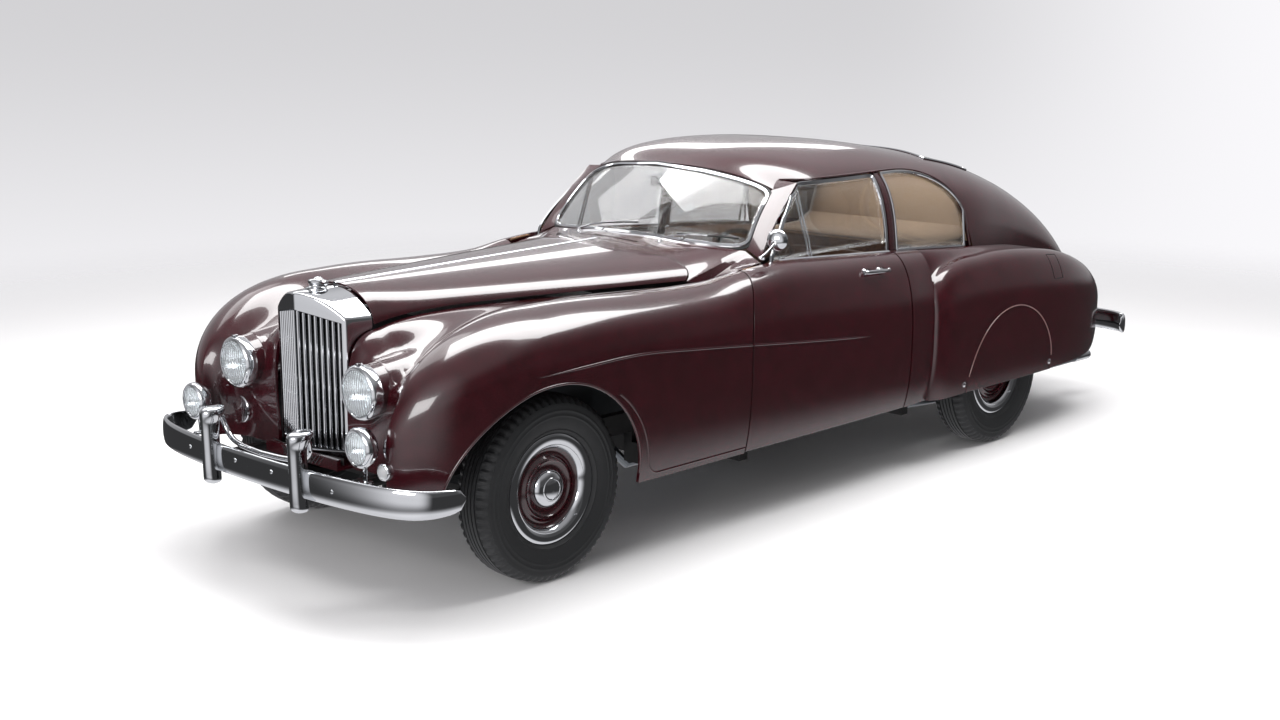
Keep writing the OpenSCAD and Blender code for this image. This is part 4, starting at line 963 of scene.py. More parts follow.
class CAR_OT_doors(bpy.types.Operator):
    """Doors with their bright glass frames"""
    bl_idname = "car.doors"
    bl_label = "Doors"

    def execute(self, context):
        props = context.scene.car_sizes
        y0, y1 = DOOR_FRONT_Y + DOOR_GAP / 2, DOOR_REAR_Y - DOOR_GAP / 2
        points = [side_up(s, SILL_Z + 6, 14, 18) for s in steps(y0, y1, 36)]
        outline = frame_outline()
        for side in ("left", "right"):
            bm = sheet_mesh(points, centre=(500, 1600, 700))
            on_side(side, bm)
            skin("door_skin_" + side, bm, "door_%s_body" % side, 30, props.edge, "door_" + side)
            path = [upper_side(y, z, 14) for y, z in outline]
            out = [(1, 0, 0.18)] * len(path)
            bm = sweep_mesh(path, oblong(18, 11, du=9), out)
            on_side(side, bm)
            piece("door_glass_frame_" + side, bm, "door_%s_body" % side, "chrome")
        return {"FINISHED"}


# Rear wing: y, x and height of the inner edge, of the crown and of the widest line, height of the lower edge
QUARTER = [
    (2796, 727, 1019, 806, 980, REAR_WING_X - 1, 690, SILL_Z + 4),
    (3000, 722, 1004, 800, 985, REAR_WING_X, 680, SILL_Z + 6),
    (3300, 690, 975, 796, 965, REAR_WING_X, 665, SILL_Z + 10),
    (3600, 653, 925, 785, 922, REAR_WING_X - 10, 650, SILL_Z + 14),
    (3850, 628, 862, 762, 845, REAR_WING_X - 42, 630, SILL_Z + 18),
    (4000, 612, 800, 735, 770, REAR_WING_X - 85, 615, SILL_Z + 40),
    (4100, 600, 725, 705, 690, REAR_WING_X - 140, 600, 440),
    (4140, 596, 640, 680, 640, REAR_WING_X - 190, 590, 540),
]
REAR_WING_Y, SPAT_R, COVER_Z = 2398, 388, SILL_Z + 6


def wing_section(s):
    if s >= QUARTER[0][0]:
        return [at(QUARTER, c, s) for c in range(1, 8)]
    b = arc01((QUARTER[0][0] - s) / (QUARTER[0][0] - REAR_WING_Y), 2.5)
    step = arc01((REAR_WING_Y + 120 - s) / 120)
    return [at(SIDE, 1, s), at(SIDE, 2, s), mix(842, 806, b), mix(800, 980, b),
            mix(SIDE_X - 20, REAR_WING_X - 1, step), mix(684, 690, b), SILL_Z + 4]


def side_x_at(r, z):
    if z < r[5]:
        return r[4] - 30 * ((r[5] - z) / (r[5] - SILL_Z)) ** 3
    return r[2] + (r[4] - r[2]) * cosd(asind(((z - r[5]) / (r[3] - r[5])) ** (1 / ROUND_K))) ** ROUND_K


def rear_row(s, zl, n1, n2, n3):
    r = wing_section(s)
    xi, zi, xc, zc = r[0] + 3 + 5 * soft((s - 3800) / 200), r[1] - 2, r[2], r[3]
    zm = max(r[5], zl + 30)
    a0 = asind(((zm - r[5]) / (zc - r[5])) ** (1 / ROUND_K))
    row = [(side_x_at(r, z), s, z) for z in steps(zl, zm, n1)]
    row += [(xc + (r[4] - xc) * power(cosd(a), ROUND_K), s, r[5] + (zc - r[5]) * power(sind(a), ROUND_K))
            for a in steps(a0, 90, n2)[1:]]
    return row + [(mix(xc, xi, t), s, mix(zc, zi, soft(t))) for t in steps(0, 1, n3)[1:]]


class CAR_OT_rear_wings(bpy.types.Operator):
    """Rear wings with their quarter panels, and the covers over the rear wheels"""
    bl_idname = "car.rear_wings"
    bl_label = "Rear wings"

    def execute(self, context):
        props = context.scene.car_sizes
        rows = [(REAR_WING_Y + 0.5 + 182 * (1 - cosd(a)), None)
                for a in (0, 6, 12, 20, 28, 36, 45, 54, 64, 76, 90)]
        rows = [(s, wing_section(s)[6]) for s, _ in rows] + [(WHEELBASE - SPAT_R - 1, COVER_Z)]
        rows += [(WHEELBASE - SPAT_R * cosd(a), COVER_Z + SPAT_R * sind(a)) for a in steps(0, 180, 44)]
        rows += [(WHEELBASE + SPAT_R + 1, COVER_Z)]
        rows += [(s, wing_section(s)[6]) for s in steps(3440, 4100, 22)[1:]
                 + [4108, 4116, 4124, 4131, 4136, 4139]]
        points = [rear_row(s, z, 12, 16, 10) for s, z in rows]
        points.insert(0, [(min(x, side_point(REAR_WING_Y, min(z, belt_z(REAR_WING_Y) - 2))[0] - 4),
                           REAR_WING_Y - 2, z)
                          for x, _, z in points[0]])
        quarter = [side_up(s, SILL_Z + 4, 12, 16) for s in steps(DOOR_REAR_Y + DOOR_GAP / 2, REAR_WING_Y, 8)]
        cover = []
        r = SPAT_R - 3
        for a in steps(9, 171, 40):
            s = WHEELBASE - r * cosd(a)
            sec = wing_section(s)
            cover.append([(side_x_at(sec, z), s, z) for z in steps(COVER_Z, COVER_Z + r * sind(a), 10)])
        covers = []
        for side in ("left", "right"):
            parts = [sheet_mesh(points, centre=(500, 3200, 600)),
                     sheet_mesh(quarter, centre=(500, 2300, 600))]
            covers.append(sheet_mesh(cover, centre=(500, 3048, 500)))
            on_side(side, *parts, covers[-1])
            skin("rear_wing_skin_" + side, join_meshes(parts), "car", props.panel, props.edge,
                 "rear_wing_" + side)
        skin("wheel_covers", join_meshes(covers), "car", 12, props.edge, "wheel_spats")
        return {"FINISHED"}


def tube_mesh(path, r, count=12, closed=False):
    return sweep_mesh(path, ring_section(r, count), closed=closed)


def smooth_path(points, n):
    """A curve through the points, with n steps between each two."""
    out = []
    for i in range(len(points) - 1):
        a, b = Vector(points[i]), Vector(points[i + 1])
        p = (b - Vector(points[max(i - 1, 0)])) * 0.5
        q = (Vector(points[min(i + 2, len(points) - 1)]) - a) * 0.5
        for k in range(n):
            u = k / n
            out.append(tuple(a + u * (p + u * (3 * (b - a) - 2 * p - q + u * (2 * (a - b) + p + q)))))
    return out + [tuple(points[-1])]


# Wheels. Profiles are (radius, distance out from the middle of the tyre)
TYRE_HALF = [
    (196, 51), (213, 58), (217, 64), (222, 71), (227, 74), (229, 77), (233, 77.4), (235, 76), (242, 78.6),
    (252, 82),
    (264, 85), (278, 87), (284, 87.4), (286, 88.6), (290, 88.7), (292, 87.7), (303, 87.9), (305, 89),
    (309, 88.9),
    (311, 87.6), (320, 86.8), (328, 85.6), (335, 83.4), (341, 80.4), (347, 76.2), (352, 71.4), (356, 66),
    (359.5, 59),
    (362, 51), (363, 45), (362.8, 42.5), (356, 41), (356, 37), (363.6, 35.5), (364.2, 24), (364, 22),
    (357, 20.8), (357, 17.2), (364.6, 16), (365, 4), (364.8, 2.8), (357.5, 1.8),
]
TREAD_BLOCKS, BLOCK_STEPS = 62, 4
# Cuts of the tread's shoulders: the radius and distance out where they start, and their depth
CUT_R, CUT_OUT, CUT_DEEP = 334, 43, 7.5
BARREL = [
    (214, 62), (196, 52), (196, -52), (213, -59), (213, -64), (208, -66), (184, -56), (184, 16), (150, 18),
    (122, 24), (88, 18), (64, 4), (30, 4), (30, 30),
]
DISC = [(160, 47), (154, 38), (146, 33.5), (134, 34), (126, 38), (121, 45), (117, 47.6), (112, 47), (107, 41),
        (99, 37), (84, 36), (70, 37)]
TRIM_RING = [(155, 46), (158, 53), (164, 60), (172, 65), (174, 64.2), (176, 65.6), (188, 68.6), (200, 70),
             (209, 69.4), (214.5, 66.5), (216, 62), (214, 60)]
HUB_CAP = [(76, 36), (77, 40), (76, 46), (73, 53), (68, 59), (60, 64.5), (50, 68.6), (47, 69.4), (45, 72),
           (42, 73.2), (38.5, 72.6), (37, 70.6), (28, 73), (14, 75), (0.01, 75.6)]


def tyre_mesh(spot, axis):
    profile = TYRE_HALF + [(r, -x) for r, x in TYRE_HALF[::-1]]
    count = TREAD_BLOCKS * BLOCK_STEPS
    bm = turned_mesh(profile, spot, axis, count=count)
    c = place(spot)
    for v in bm.verts:
        d = v.co - c
        r, out = math.hypot(d.y, d.z) / MM, abs(d.x) / MM
        cut = soft((r - CUT_R) / 6) * soft((out - CUT_OUT) / 3)
        turn = math.atan2(d.z, d.y) / math.tau * count
        skew = 1 if d.x > 0 else 3
        if round(turn + skew) % BLOCK_STEPS < 2 and cut > 0:
            v.co.y = c.y + d.y * (1 - CUT_DEEP * cut / r)
            v.co.z = c.z + d.z * (1 - CUT_DEEP * cut / r)
    return bm


class CAR_OT_wheels(bpy.types.Operator):
    """Tyres with tread, painted discs, trim rings and hub caps"""
    bl_idname = "car.wheels"
    bl_label = "Wheels"

    def execute(self, context):
        spots = (("fl", "front_left", FRONT_X, 0), ("fr", "front_right", -FRONT_X, 0),
                 ("rl", "rear_left", REAR_X, WHEELBASE), ("rr", "rear_right", -REAR_X, WHEELBASE))
        for short, name, x, y in spots:
            spot, axis, body = (x, y, WHEEL_Z), (math.copysign(1, x), 0, 0), "wheel_" + short
            piece("tyre_" + name, tyre_mesh(spot, axis), body, "tyre", "tyre_" + name, soft_angle=28)
            piece("rim_barrel_" + name, turned_mesh(BARREL, spot, axis, 96), body, "enamel")
            piece("wheel_disc_" + name, turned_mesh(DISC, spot, axis, 96), body, "paint", "wheel_" + name)
            valve = [(x + math.copysign(d, x), y + 0.7 * r, WHEEL_Z - 0.71 * r)
                     for d, r in ((52, 186), (66, 178), (76, 170))]
            bright = [turned_mesh(TRIM_RING, spot, axis, 96), turned_mesh(HUB_CAP, spot, axis, 72),
                      tube_mesh(valve, 3.4)]
            piece("wheel_trims_" + name, join_meshes(bright), body, "chrome")
        return {"FINISHED"}


# Radiator
RAD_X, RAD_EDGE_Y, RAD_VEE, RAD_LOW_Z = 222, -520, 78, 490
RAD_CORNER_Z, RAD_PEAK_Z, RAD_BACK_X, RAD_BACK_Z, RAD_BACK_PEAK_Z = 1018, 1103, 233, 1010, 1112
SLAT_LOW_Z, SLAT_SIDE_Z, SLAT_MID_Z, SLAT_X, SLATS = 512, 1000, 1038, 205, 8
# The mesh under the radiator: y of its sides, how far its middle stands forward, foot, top, pitch of wires
MESH_Y, MESH_VEE, MESH_Z0, MESH_Z1, MESH_PITCH = -556, 42, 452, 486, 19


def rad_front_y(x):
    return RAD_EDGE_Y - RAD_VEE * (1 - min(abs(x) / RAD_X, 1))


def mesh_y(x):
    return MESH_Y - MESH_VEE * (1 - abs(x) / 240)


def slat_top(x):
    return mix(SLAT_MID_Z, SLAT_SIDE_Z, abs(x) / SLAT_X)


def shell_outline():
    """Rows of (front point, back point, inner point) up the left side and over to the right."""
    low = [(RAD_X - 26 + 26 * soft(t), RAD_LOW_Z + 30 * t) for t in steps(0, 1, 4)]
    side = low + [(RAD_X, z) for z in steps(RAD_LOW_Z + 40, RAD_CORNER_Z - 8, 16)]
    rows = []
    for x, z in side:
        k = (x - RAD_X) + RAD_BACK_X
        inner_z = clamp(z, SLAT_LOW_Z, SLAT_SIDE_Z)
        rows.append(((x, rad_front_y(x), z), (k, RAD_BACK_Y, z - 6 * soft((z - 900) / 110)),
                     (SLAT_X, rad_front_y(SLAT_X), inner_z)))
    for u in steps(0.985, 0, 22):
        z = mix(RAD_CORNER_Z, RAD_PEAK_Z, 1 - u ** 2.05)
        zb = mix(RAD_BACK_Z, RAD_BACK_PEAK_Z, (1 - u ** 2.3) ** 0.9)
        x = RAD_X * u
        xi = min(x, SLAT_X)
        rows.append(((x, rad_front_y(x), z), (RAD_BACK_X * u, RAD_BACK_Y, zb),
                     (xi, rad_front_y(xi), slat_top(xi))))
    bottom = [((x, rad_front_y(x), RAD_LOW_Z), (x + 8, RAD_BACK_Y, RAD_LOW_Z),
               (x, rad_front_y(x), SLAT_LOW_Z))
              for x in steps(0, RAD_X - 28, 8)]
    half = bottom + rows
    return half + [tuple(flip(p) for p in r) for r in half[-2::-1]]


def shell_mesh():
    rows = []
    for f, b, i in shell_outline():
        f, b, i = Vector(f), Vector(b), Vector(i)
        inward = (i - f).normalized() if (i - f).length > 1 else Vector((0, 0, 0))
        back = (b - f).normalized()
        edge = [f + inward * 9 * (1 - sind(a)) + back * 9 * (1 - cosd(a)) for a in (0, 22, 45, 68, 90)]
        lip = [i + Vector((0, 16, 0)), i + Vector((0, 3, 0)), i + (f - i) * 0.02]
        rows.append([tuple(p) for p in lip + [i.lerp(edge[0], 0.5)] + edge
                     + [f.lerp(b, t) for t in (0.25, 0.5, 0.75, 1)]
                     + [b.lerp(Vector((b.x * 0.93, b.y, b.z - 12)), 1)]])
    return sheet_mesh(rows, centre=(0, -420, 760))


def slat_mesh(x):
    """One upright shutter with a round front."""
    y, top = rad_front_y(x) + 9, slat_top(x) - 2
    section = [(6.2 * cosd(a), -9 * sind(a)) for a in steps(0, 180, 10)] + [(-6.2, 18), (6.2, 18)]
    rows = [[(x + u, y + v, z) for u, v in section + section[:1]]
            for z in (SLAT_LOW_Z, (SLAT_LOW_Z + top) / 2, top)]
    return sheet_mesh(rows, wrap=True, caps=True)


RAD_CAP = [(47, -6), (47, 3), (45, 6), (38, 8), (34, 12), (33, 17), (37, 20), (39, 24), (39, 32), (36, 36),
           (28, 38), (20, 39), (17, 42), (14, 46), (8, 48.5), (0.01, 49)]


class CAR_OT_radiator(bpy.types.Operator):
    """Radiator shell, shutters, cap and the mesh below"""
    bl_idname = "car.radiator"
    bl_label = "Radiator"

    def execute(self, context):
        piece("radiator_casing", shell_mesh(), "car", "chrome", "radiator_shell", soft_angle=40)
        slats = [slat_mesh(way * (i + 0.5) * SLAT_X / (SLATS + 0.15)) for way in (1, -1)
                 for i in range(SLATS)]
        piece("radiator_shutters", join_meshes(slats), "car", "chrome", "radiator_slats", soft_angle=40)
        core = sheet_mesh([[(x, rad_front_y(x) + 30, z) for z in (SLAT_LOW_Z - 6, slat_top(x) + 6)]
                           for x in steps(-208, 208, 16)],
                          centre=(0, 0, 760))
        piece("radiator_core", core, "car", "enamel", thick=6)
        piece("radiator_cap", turned_mesh(RAD_CAP, (0, -482, 1103), (0, 0.1, 1), 48), "car", "chrome")
        wires = []
        for k in range(-12, 13):
            for way in (-1, 1):
                x0 = k * MESH_PITCH
                path = [(x0 + way * (z - MESH_Z0), mesh_y(x0) - 10 - way * 1.6, z)
                        for z in (MESH_Z0, MESH_Z1)]
                if all(abs(q[0]) < 228 for q in path):
                    wires.append(tube_mesh(path, 2.0, 6))
        back = sheet_mesh([[(x, mesh_y(x), z) for z in (MESH_Z0 - 4, MESH_Z1 + 4)]
                           for x in steps(-232, 232, 16)],
                          centre=(0, 0, 470))
        piece("lower_mesh", join_meshes(wires), "car", "gunmetal")
        piece("lower_mesh_backing", back, "car", "enamel", thick=2)
        return {"FINISHED"}


# Lamps. Profiles are (radius, distance forward)
HEAD_SPOT, HEAD_R, FOG_SPOT, FOG_R = (405, -572, 778), 104, (543, -702, 616), 75
NACELLE_LEN = 345
SIDE_LAMP, TAIL_LAMP, HORN, HORN_R = (598, -640, 524), (705, 4139, 592), (498, -520, 560), 49
AHEAD, ASIDE, BEHIND = (0, -1, 0), (0.12, -1, 0), (0, 1, 0)


def nacelle_at(v):
    """Middle and radius of the lamp housing at v, from 0 at the lamp back into the wing."""
    x, y, z = HEAD_SPOT
    return x + 22 * v, y + NACELLE_LEN * v, z + 74 * v ** 1.4, 100.5 * (1 - 0.4 * v * v)


def nacelle_mesh():
    rows = []
    for v in steps(0, 1, 14):
        x, y, z, r = nacelle_at(v)
        rows.append([(x + r * cosd(a), y, z + r * sind(a)) for a in steps(0, 360, 48)])
    return sheet_mesh(rows, wrap=True)


def with_housing(p):
    """Lift a point of the wing smoothly over the lamp housing."""
    x, y, z = p
    v = (y - HEAD_SPOT[1]) / NACELLE_LEN
    if not 0.02 < v < 1.6:
        return p
    xc, _, zc, r = nacelle_at(v)
    r = max(r, 20)
    d = abs(x - xc)
    top = zc + math.sqrt(r * r - d * d) if d < 0.97 * r else zc + 0.243 * r - 3.5 * (d - 0.97 * r)
    blend = 26
    lifted = 0.5 * (z + top + math.sqrt((z - top) ** 2 + blend * blend))
    near = soft((z - zc + 70) / 60) * soft((v - 0.03) / 0.09) * (1 - soft((v - 1.0) / 0.5))
    return x, y, mix(z, lifted, near)


def rim_profile(r, deep):
    return [(r - 4, -6), (r - 1, 0), (r, 3), (r, deep - 16), (r - 0.6, deep - 12), (r - 3, deep - 7),
            (r - 7, deep - 2.5),
            (r - 12, deep), (r - 15, deep - 0.8), (r - 17, deep - 4), (r - 17.5, deep - 9)]


def lamp_parts(spot, r, deep, flat=10):
    """Rim, reflector and glass of a round lamp that faces forward."""
    q = r - 16.5
    bowl = [(q * u, deep - 10 - 0.62 * q * (1 - u * u)) for u in (0.92, 0.8, 0.65, 0.5, 0.35, 0.2, 0.01)]
    lens = [(q * u, deep - 6 + flat * (1 - u * u)) for u in (1, 0.94, 0.85, 0.7, 0.5, 0.3, 0.12, 0.004)]
    return [turned_mesh(p, spot, AHEAD, 72) for p in (rim_profile(r, deep), [(q, deep - 8)] + bowl, lens)]


BOWL = [(75, 4), (72, -10), (64, -26), (50, -38), (30, -45), (14, -47), (12, -52), (0.01, -53)]


def doubled(bm):
    """A mesh joined with its mirror image."""
    return join_meshes([bm.copy(), mirror_mesh(bm)])


class CAR_OT_lamps(bpy.types.Operator):
    """Headlamps in their housings, fog lamps, side lamps, horn grilles and tail lamps"""
    bl_idname = "car.lamps"
    bl_label = "Lamps"

    def execute(self, context):
        piece("headlamp_housings", doubled(nacelle_mesh()), "car", "paint", "headlamp_nacelles")
        rim, bowl, lens = lamp_parts(HEAD_SPOT, HEAD_R, 44, 12)
        clip = box_mesh((398, -612, 880), (412, -588, 889), 2)
        piece("headlamp_rims", doubled(join_meshes([rim, clip])), "car", "chrome", "headlamps", soft_angle=40)
        piece("headlamp_bowls", doubled(bowl), "car", "reflector")
        piece("headlamp_glasses", doubled(lens), "car", "lens", thick=3)
        bulb = turned_mesh([(0.01, 26), (8, 24), (13, 18), (14, 8), (11, -20)], HEAD_SPOT, AHEAD, 24)
        piece("headlamp_bulb_shields", doubled(bulb), "car", "chrome")
        rim, bowl, lens = lamp_parts(FOG_SPOT, FOG_R, 28, 10)
        body = turned_mesh(BOWL, FOG_SPOT, AHEAD, 64)
        dot = turned_mesh([(0.01, 34), (4, 33.5), (6.5, 32), (7, 29)], FOG_SPOT, AHEAD, 20)
        stem = tube_mesh([(543, -690, 560), (543, -690, 520), (543, -686, 486)], 10)
        foot = box_mesh((524, -716, 478), (562, -668, 488), 3)
        piece("fog_lamp_bodies", doubled(join_meshes([rim, body, dot, stem, foot])), "car", "chrome",
              "fog_lamps", soft_angle=40)
        piece("fog_lamp_bowls", doubled(bowl), "car", "reflector")
        piece("fog_lamp_glasses", doubled(lens), "car", "lens", thick=3)
        side = turned_mesh([(24, -16), (30, -4), (32, 4), (32, 12), (30, 16), (26, 18)], SIDE_LAMP, ASIDE, 40)
        tail = turned_mesh([(40, -30), (40, -4), (38, 4), (34, 8), (30, 9)], TAIL_LAMP, BEHIND, 40)
        piece("small_lamp_rims", doubled(join_meshes([side, tail])), "car", "chrome", "small_lamps")
        glass = turned_mesh([(27, 15), (24, 20), (16, 24), (7, 26), (0.01, 26.4)], SIDE_LAMP, ASIDE, 40)
        piece("side_lamp_glasses", doubled(glass), "car", "frosted")
        red = turned_mesh([(31, 7), (28, 13), (20, 18), (9, 20.5), (0.01, 21)], TAIL_LAMP, BEHIND, 40)
        piece("tail_lamp_glasses", doubled(red), "car", "red")
        x0, y0, z0 = HORN
        ring = turned_mesh([(52, 0), (56, 4), (56, 9), (53, 12), (49, 11), (47, 6)], HORN, AHEAD, 48)
        reach = [(x, math.sqrt(HORN_R ** 2 - x * x)) for x in range(-42, 43, 12)]
        bars = [box_mesh((x0 + x - 2, y0 - 10, z0 - h), (x0 + x + 2, y0 - 5, z0 + h), 1) for x, h in reach]
        back = turned_mesh([(50, 2), (0.01, 2)], HORN, AHEAD, 48)
        piece("horn_grilles", doubled(join_meshes([ring] + bars)), "car", "chrome", soft_angle=40)
        piece("horn_grille_backs", doubled(back), "car", "enamel")
        return {"FINISHED"}


# Bumpers
BUMPER_X, BUMPER_Z, BUMPER_H, BAR_Y, BAR_BOW, BAR_WRAP = 880, 452, 112, -795, 165, 125
# Section of a bumper: out in millimetres, up as a share of its height; fuller at the front than behind
BAR_SECTION = [(14 * signed(cosd(a), 0.7) * (1 if cosd(a) > 0 else 0.8), 0.5 * signed(sind(a), 0.9))
               for a in range(0, 360, 15)]


def bar_at(x, y0, bow, wrap, out, t):
    return Vector((x * sind(90 * t), y0 + out * (bow * t * t + wrap * abs(t) ** 8), 0))


def bar_mesh(x, y0, bow, wrap, out):
    rows = []
    for t in steps(-1, 1, 90):
        d = bar_at(x, y0, bow, wrap, out, min(t + 0.01, 1)) - bar_at(x, y0, bow, wrap, out, max(t - 0.01, -1))
        d.normalize()
        n = Vector((out * d.y, -out * d.x, 0))
        k = max(0.12, arc01(abs(t), 6))
        p = bar_at(x, y0, bow, wrap, out, t)
        rows.append([tuple(p + n * c[0] * k + Vector((0, 0, BUMPER_Z + BUMPER_H * c[1] * k)))
                     for c in BAR_SECTION + BAR_SECTION[:1]])
    return sheet_mesh(rows, wrap=True, caps=True)


# Overrider: height, half width, half depth, set-back
OVERRIDER = [
    (343, 14, 14, 4), (347, 25, 24, 3), (356, 31, 32, 1), (380, 31, 34, 0), (480, 29.5, 35, 0),
    (560, 29, 36, 0), (588, 30, 38, 1),
    (606, 34, 43, 5), (622, 37, 48, 10), (634, 37, 50, 15), (643, 32, 45, 20), (648, 22, 33, 24),
    (651, 10, 16, 27),
]
OVER_X, OVER_Y = 290, -804
# The rear bumper: y from the rear axle, bow and wrap; corner radius of the irons that carry both
REAR_BAR_Y, REAR_BOW, REAR_WRAP, IRON_EDGE = 1334, 100, 70, 3


def overrider_mesh():
    rows = []
    for z in steps(OVERRIDER[0][0], OVERRIDER[-1][0], 60):
        hw, hd, back = at(OVERRIDER, 1, z), at(OVERRIDER, 2, z), at(OVERRIDER, 3, z)
        rows.append([(OVER_X + hw * signed(cosd(a), 0.85), OVER_Y + back + hd * signed(sind(a), 0.85), z)
                     for a in range(0, 361, 10)])
    return sheet_mesh(rows, wrap=True, caps=True)


class CAR_OT_bumpers(bpy.types.Operator):
    """Front and rear bumpers with overriders, stays and bolts"""
    bl_idname = "car.bumpers"
    bl_label = "Bumpers"

    def execute(self, context):
        parts = [bar_mesh(BUMPER_X, BAR_Y, BAR_BOW, BAR_WRAP, 1)]
        parts.append(doubled(overrider_mesh()))
        hook = smooth_path([(OVER_X, -776, 628), (OVER_X - 4, -752, 600), (OVER_X - 16, -742, 556),
                            (OVER_X - 60, -744, 522), (OVER_X - 150, -758, 512), (0, -768, 510)], 8)
        parts.append(doubled(tube_mesh(hook, 11, 14)))
        for x, z in ((120, BUMPER_Z + 14), (470, BUMPER_Z + 2)):
            y = BAR_Y + BAR_BOW * (math.asin(x / BUMPER_X) * 2 / math.pi) ** 2 - 13
            bolt = turned_mesh([(8, -3), (8, 2), (6, 4.5), (0.01, 5.5)], (x, y, z), (0, -1, 0), 20)
            parts.append(doubled(bolt))
        piece("front_bumper_bar", join_meshes(parts), "car", "chrome", "front_bumper", soft_angle=42)
        irons = doubled(box_mesh((348, BAR_Y + 18, BUMPER_Z - 48), (388, -420, BUMPER_Z - 12), IRON_EDGE))
        piece("front_bumper_irons", irons, "car", "enamel")
        y = WHEELBASE + REAR_BAR_Y
        parts = [bar_mesh(BUMPER_X - 30, y, REAR_BOW, REAR_WRAP, -1)]
        over = doubled(overrider_mesh())
        bmesh.ops.scale(over, vec=(1, -1, 1), verts=over.verts[:])
        bmesh.ops.reverse_faces(over, faces=over.faces[:])
        shift = (y + 9 + OVER_Y + 2 * FRONT_AXLE_Y) * MM
        bmesh.ops.translate(over, vec=(0, shift, -20 * MM), verts=over.verts[:])
        piece("rear_bumper_bar", join_meshes(parts + [over]), "car", "chrome", "rear_bumper", soft_angle=42)
        ends = (((3990, 352), (y - 20, 378)), ((y - 62, 352), (y - 12, BUMPER_Z + 20)),
                ((3990, 352), (4050, 499)))
        irons = doubled(join_meshes([box_mesh((395, *lo), (440, *hi), IRON_EDGE) for lo, hi in ends]))
        piece("rear_bumper_irons", irons, "car", "enamel")
        return {"FINISHED"}


def screen_normal(u, v):
    du = screen_at(min(u + 0.02, 1), v) - screen_at(max(u - 0.02, -1), v)
    dv = screen_at(u, min(v + 0.02, 1)) - screen_at(u, max(v - 0.02, 0))
    return du.cross(dv).normalized()


def screen_loop(n, grow=0.0):
    """A closed loop round the screen with round corners: points and normals."""
    pts, ups = [], []
    for k in range(n):
        a = 360 * k / n
        u = signed(cosd(a), 2 / SCREEN_CORNER) * (1 + grow)
        v = 0.5 + 0.5 * signed(sind(a), 2 / SCREEN_CORNER) * (1 + 1.6 * grow)
        pts.append(tuple(screen_at(u, v)))
        ups.append(tuple(screen_normal(clamp(u, -1, 1), clamp(v))))
    return pts, ups


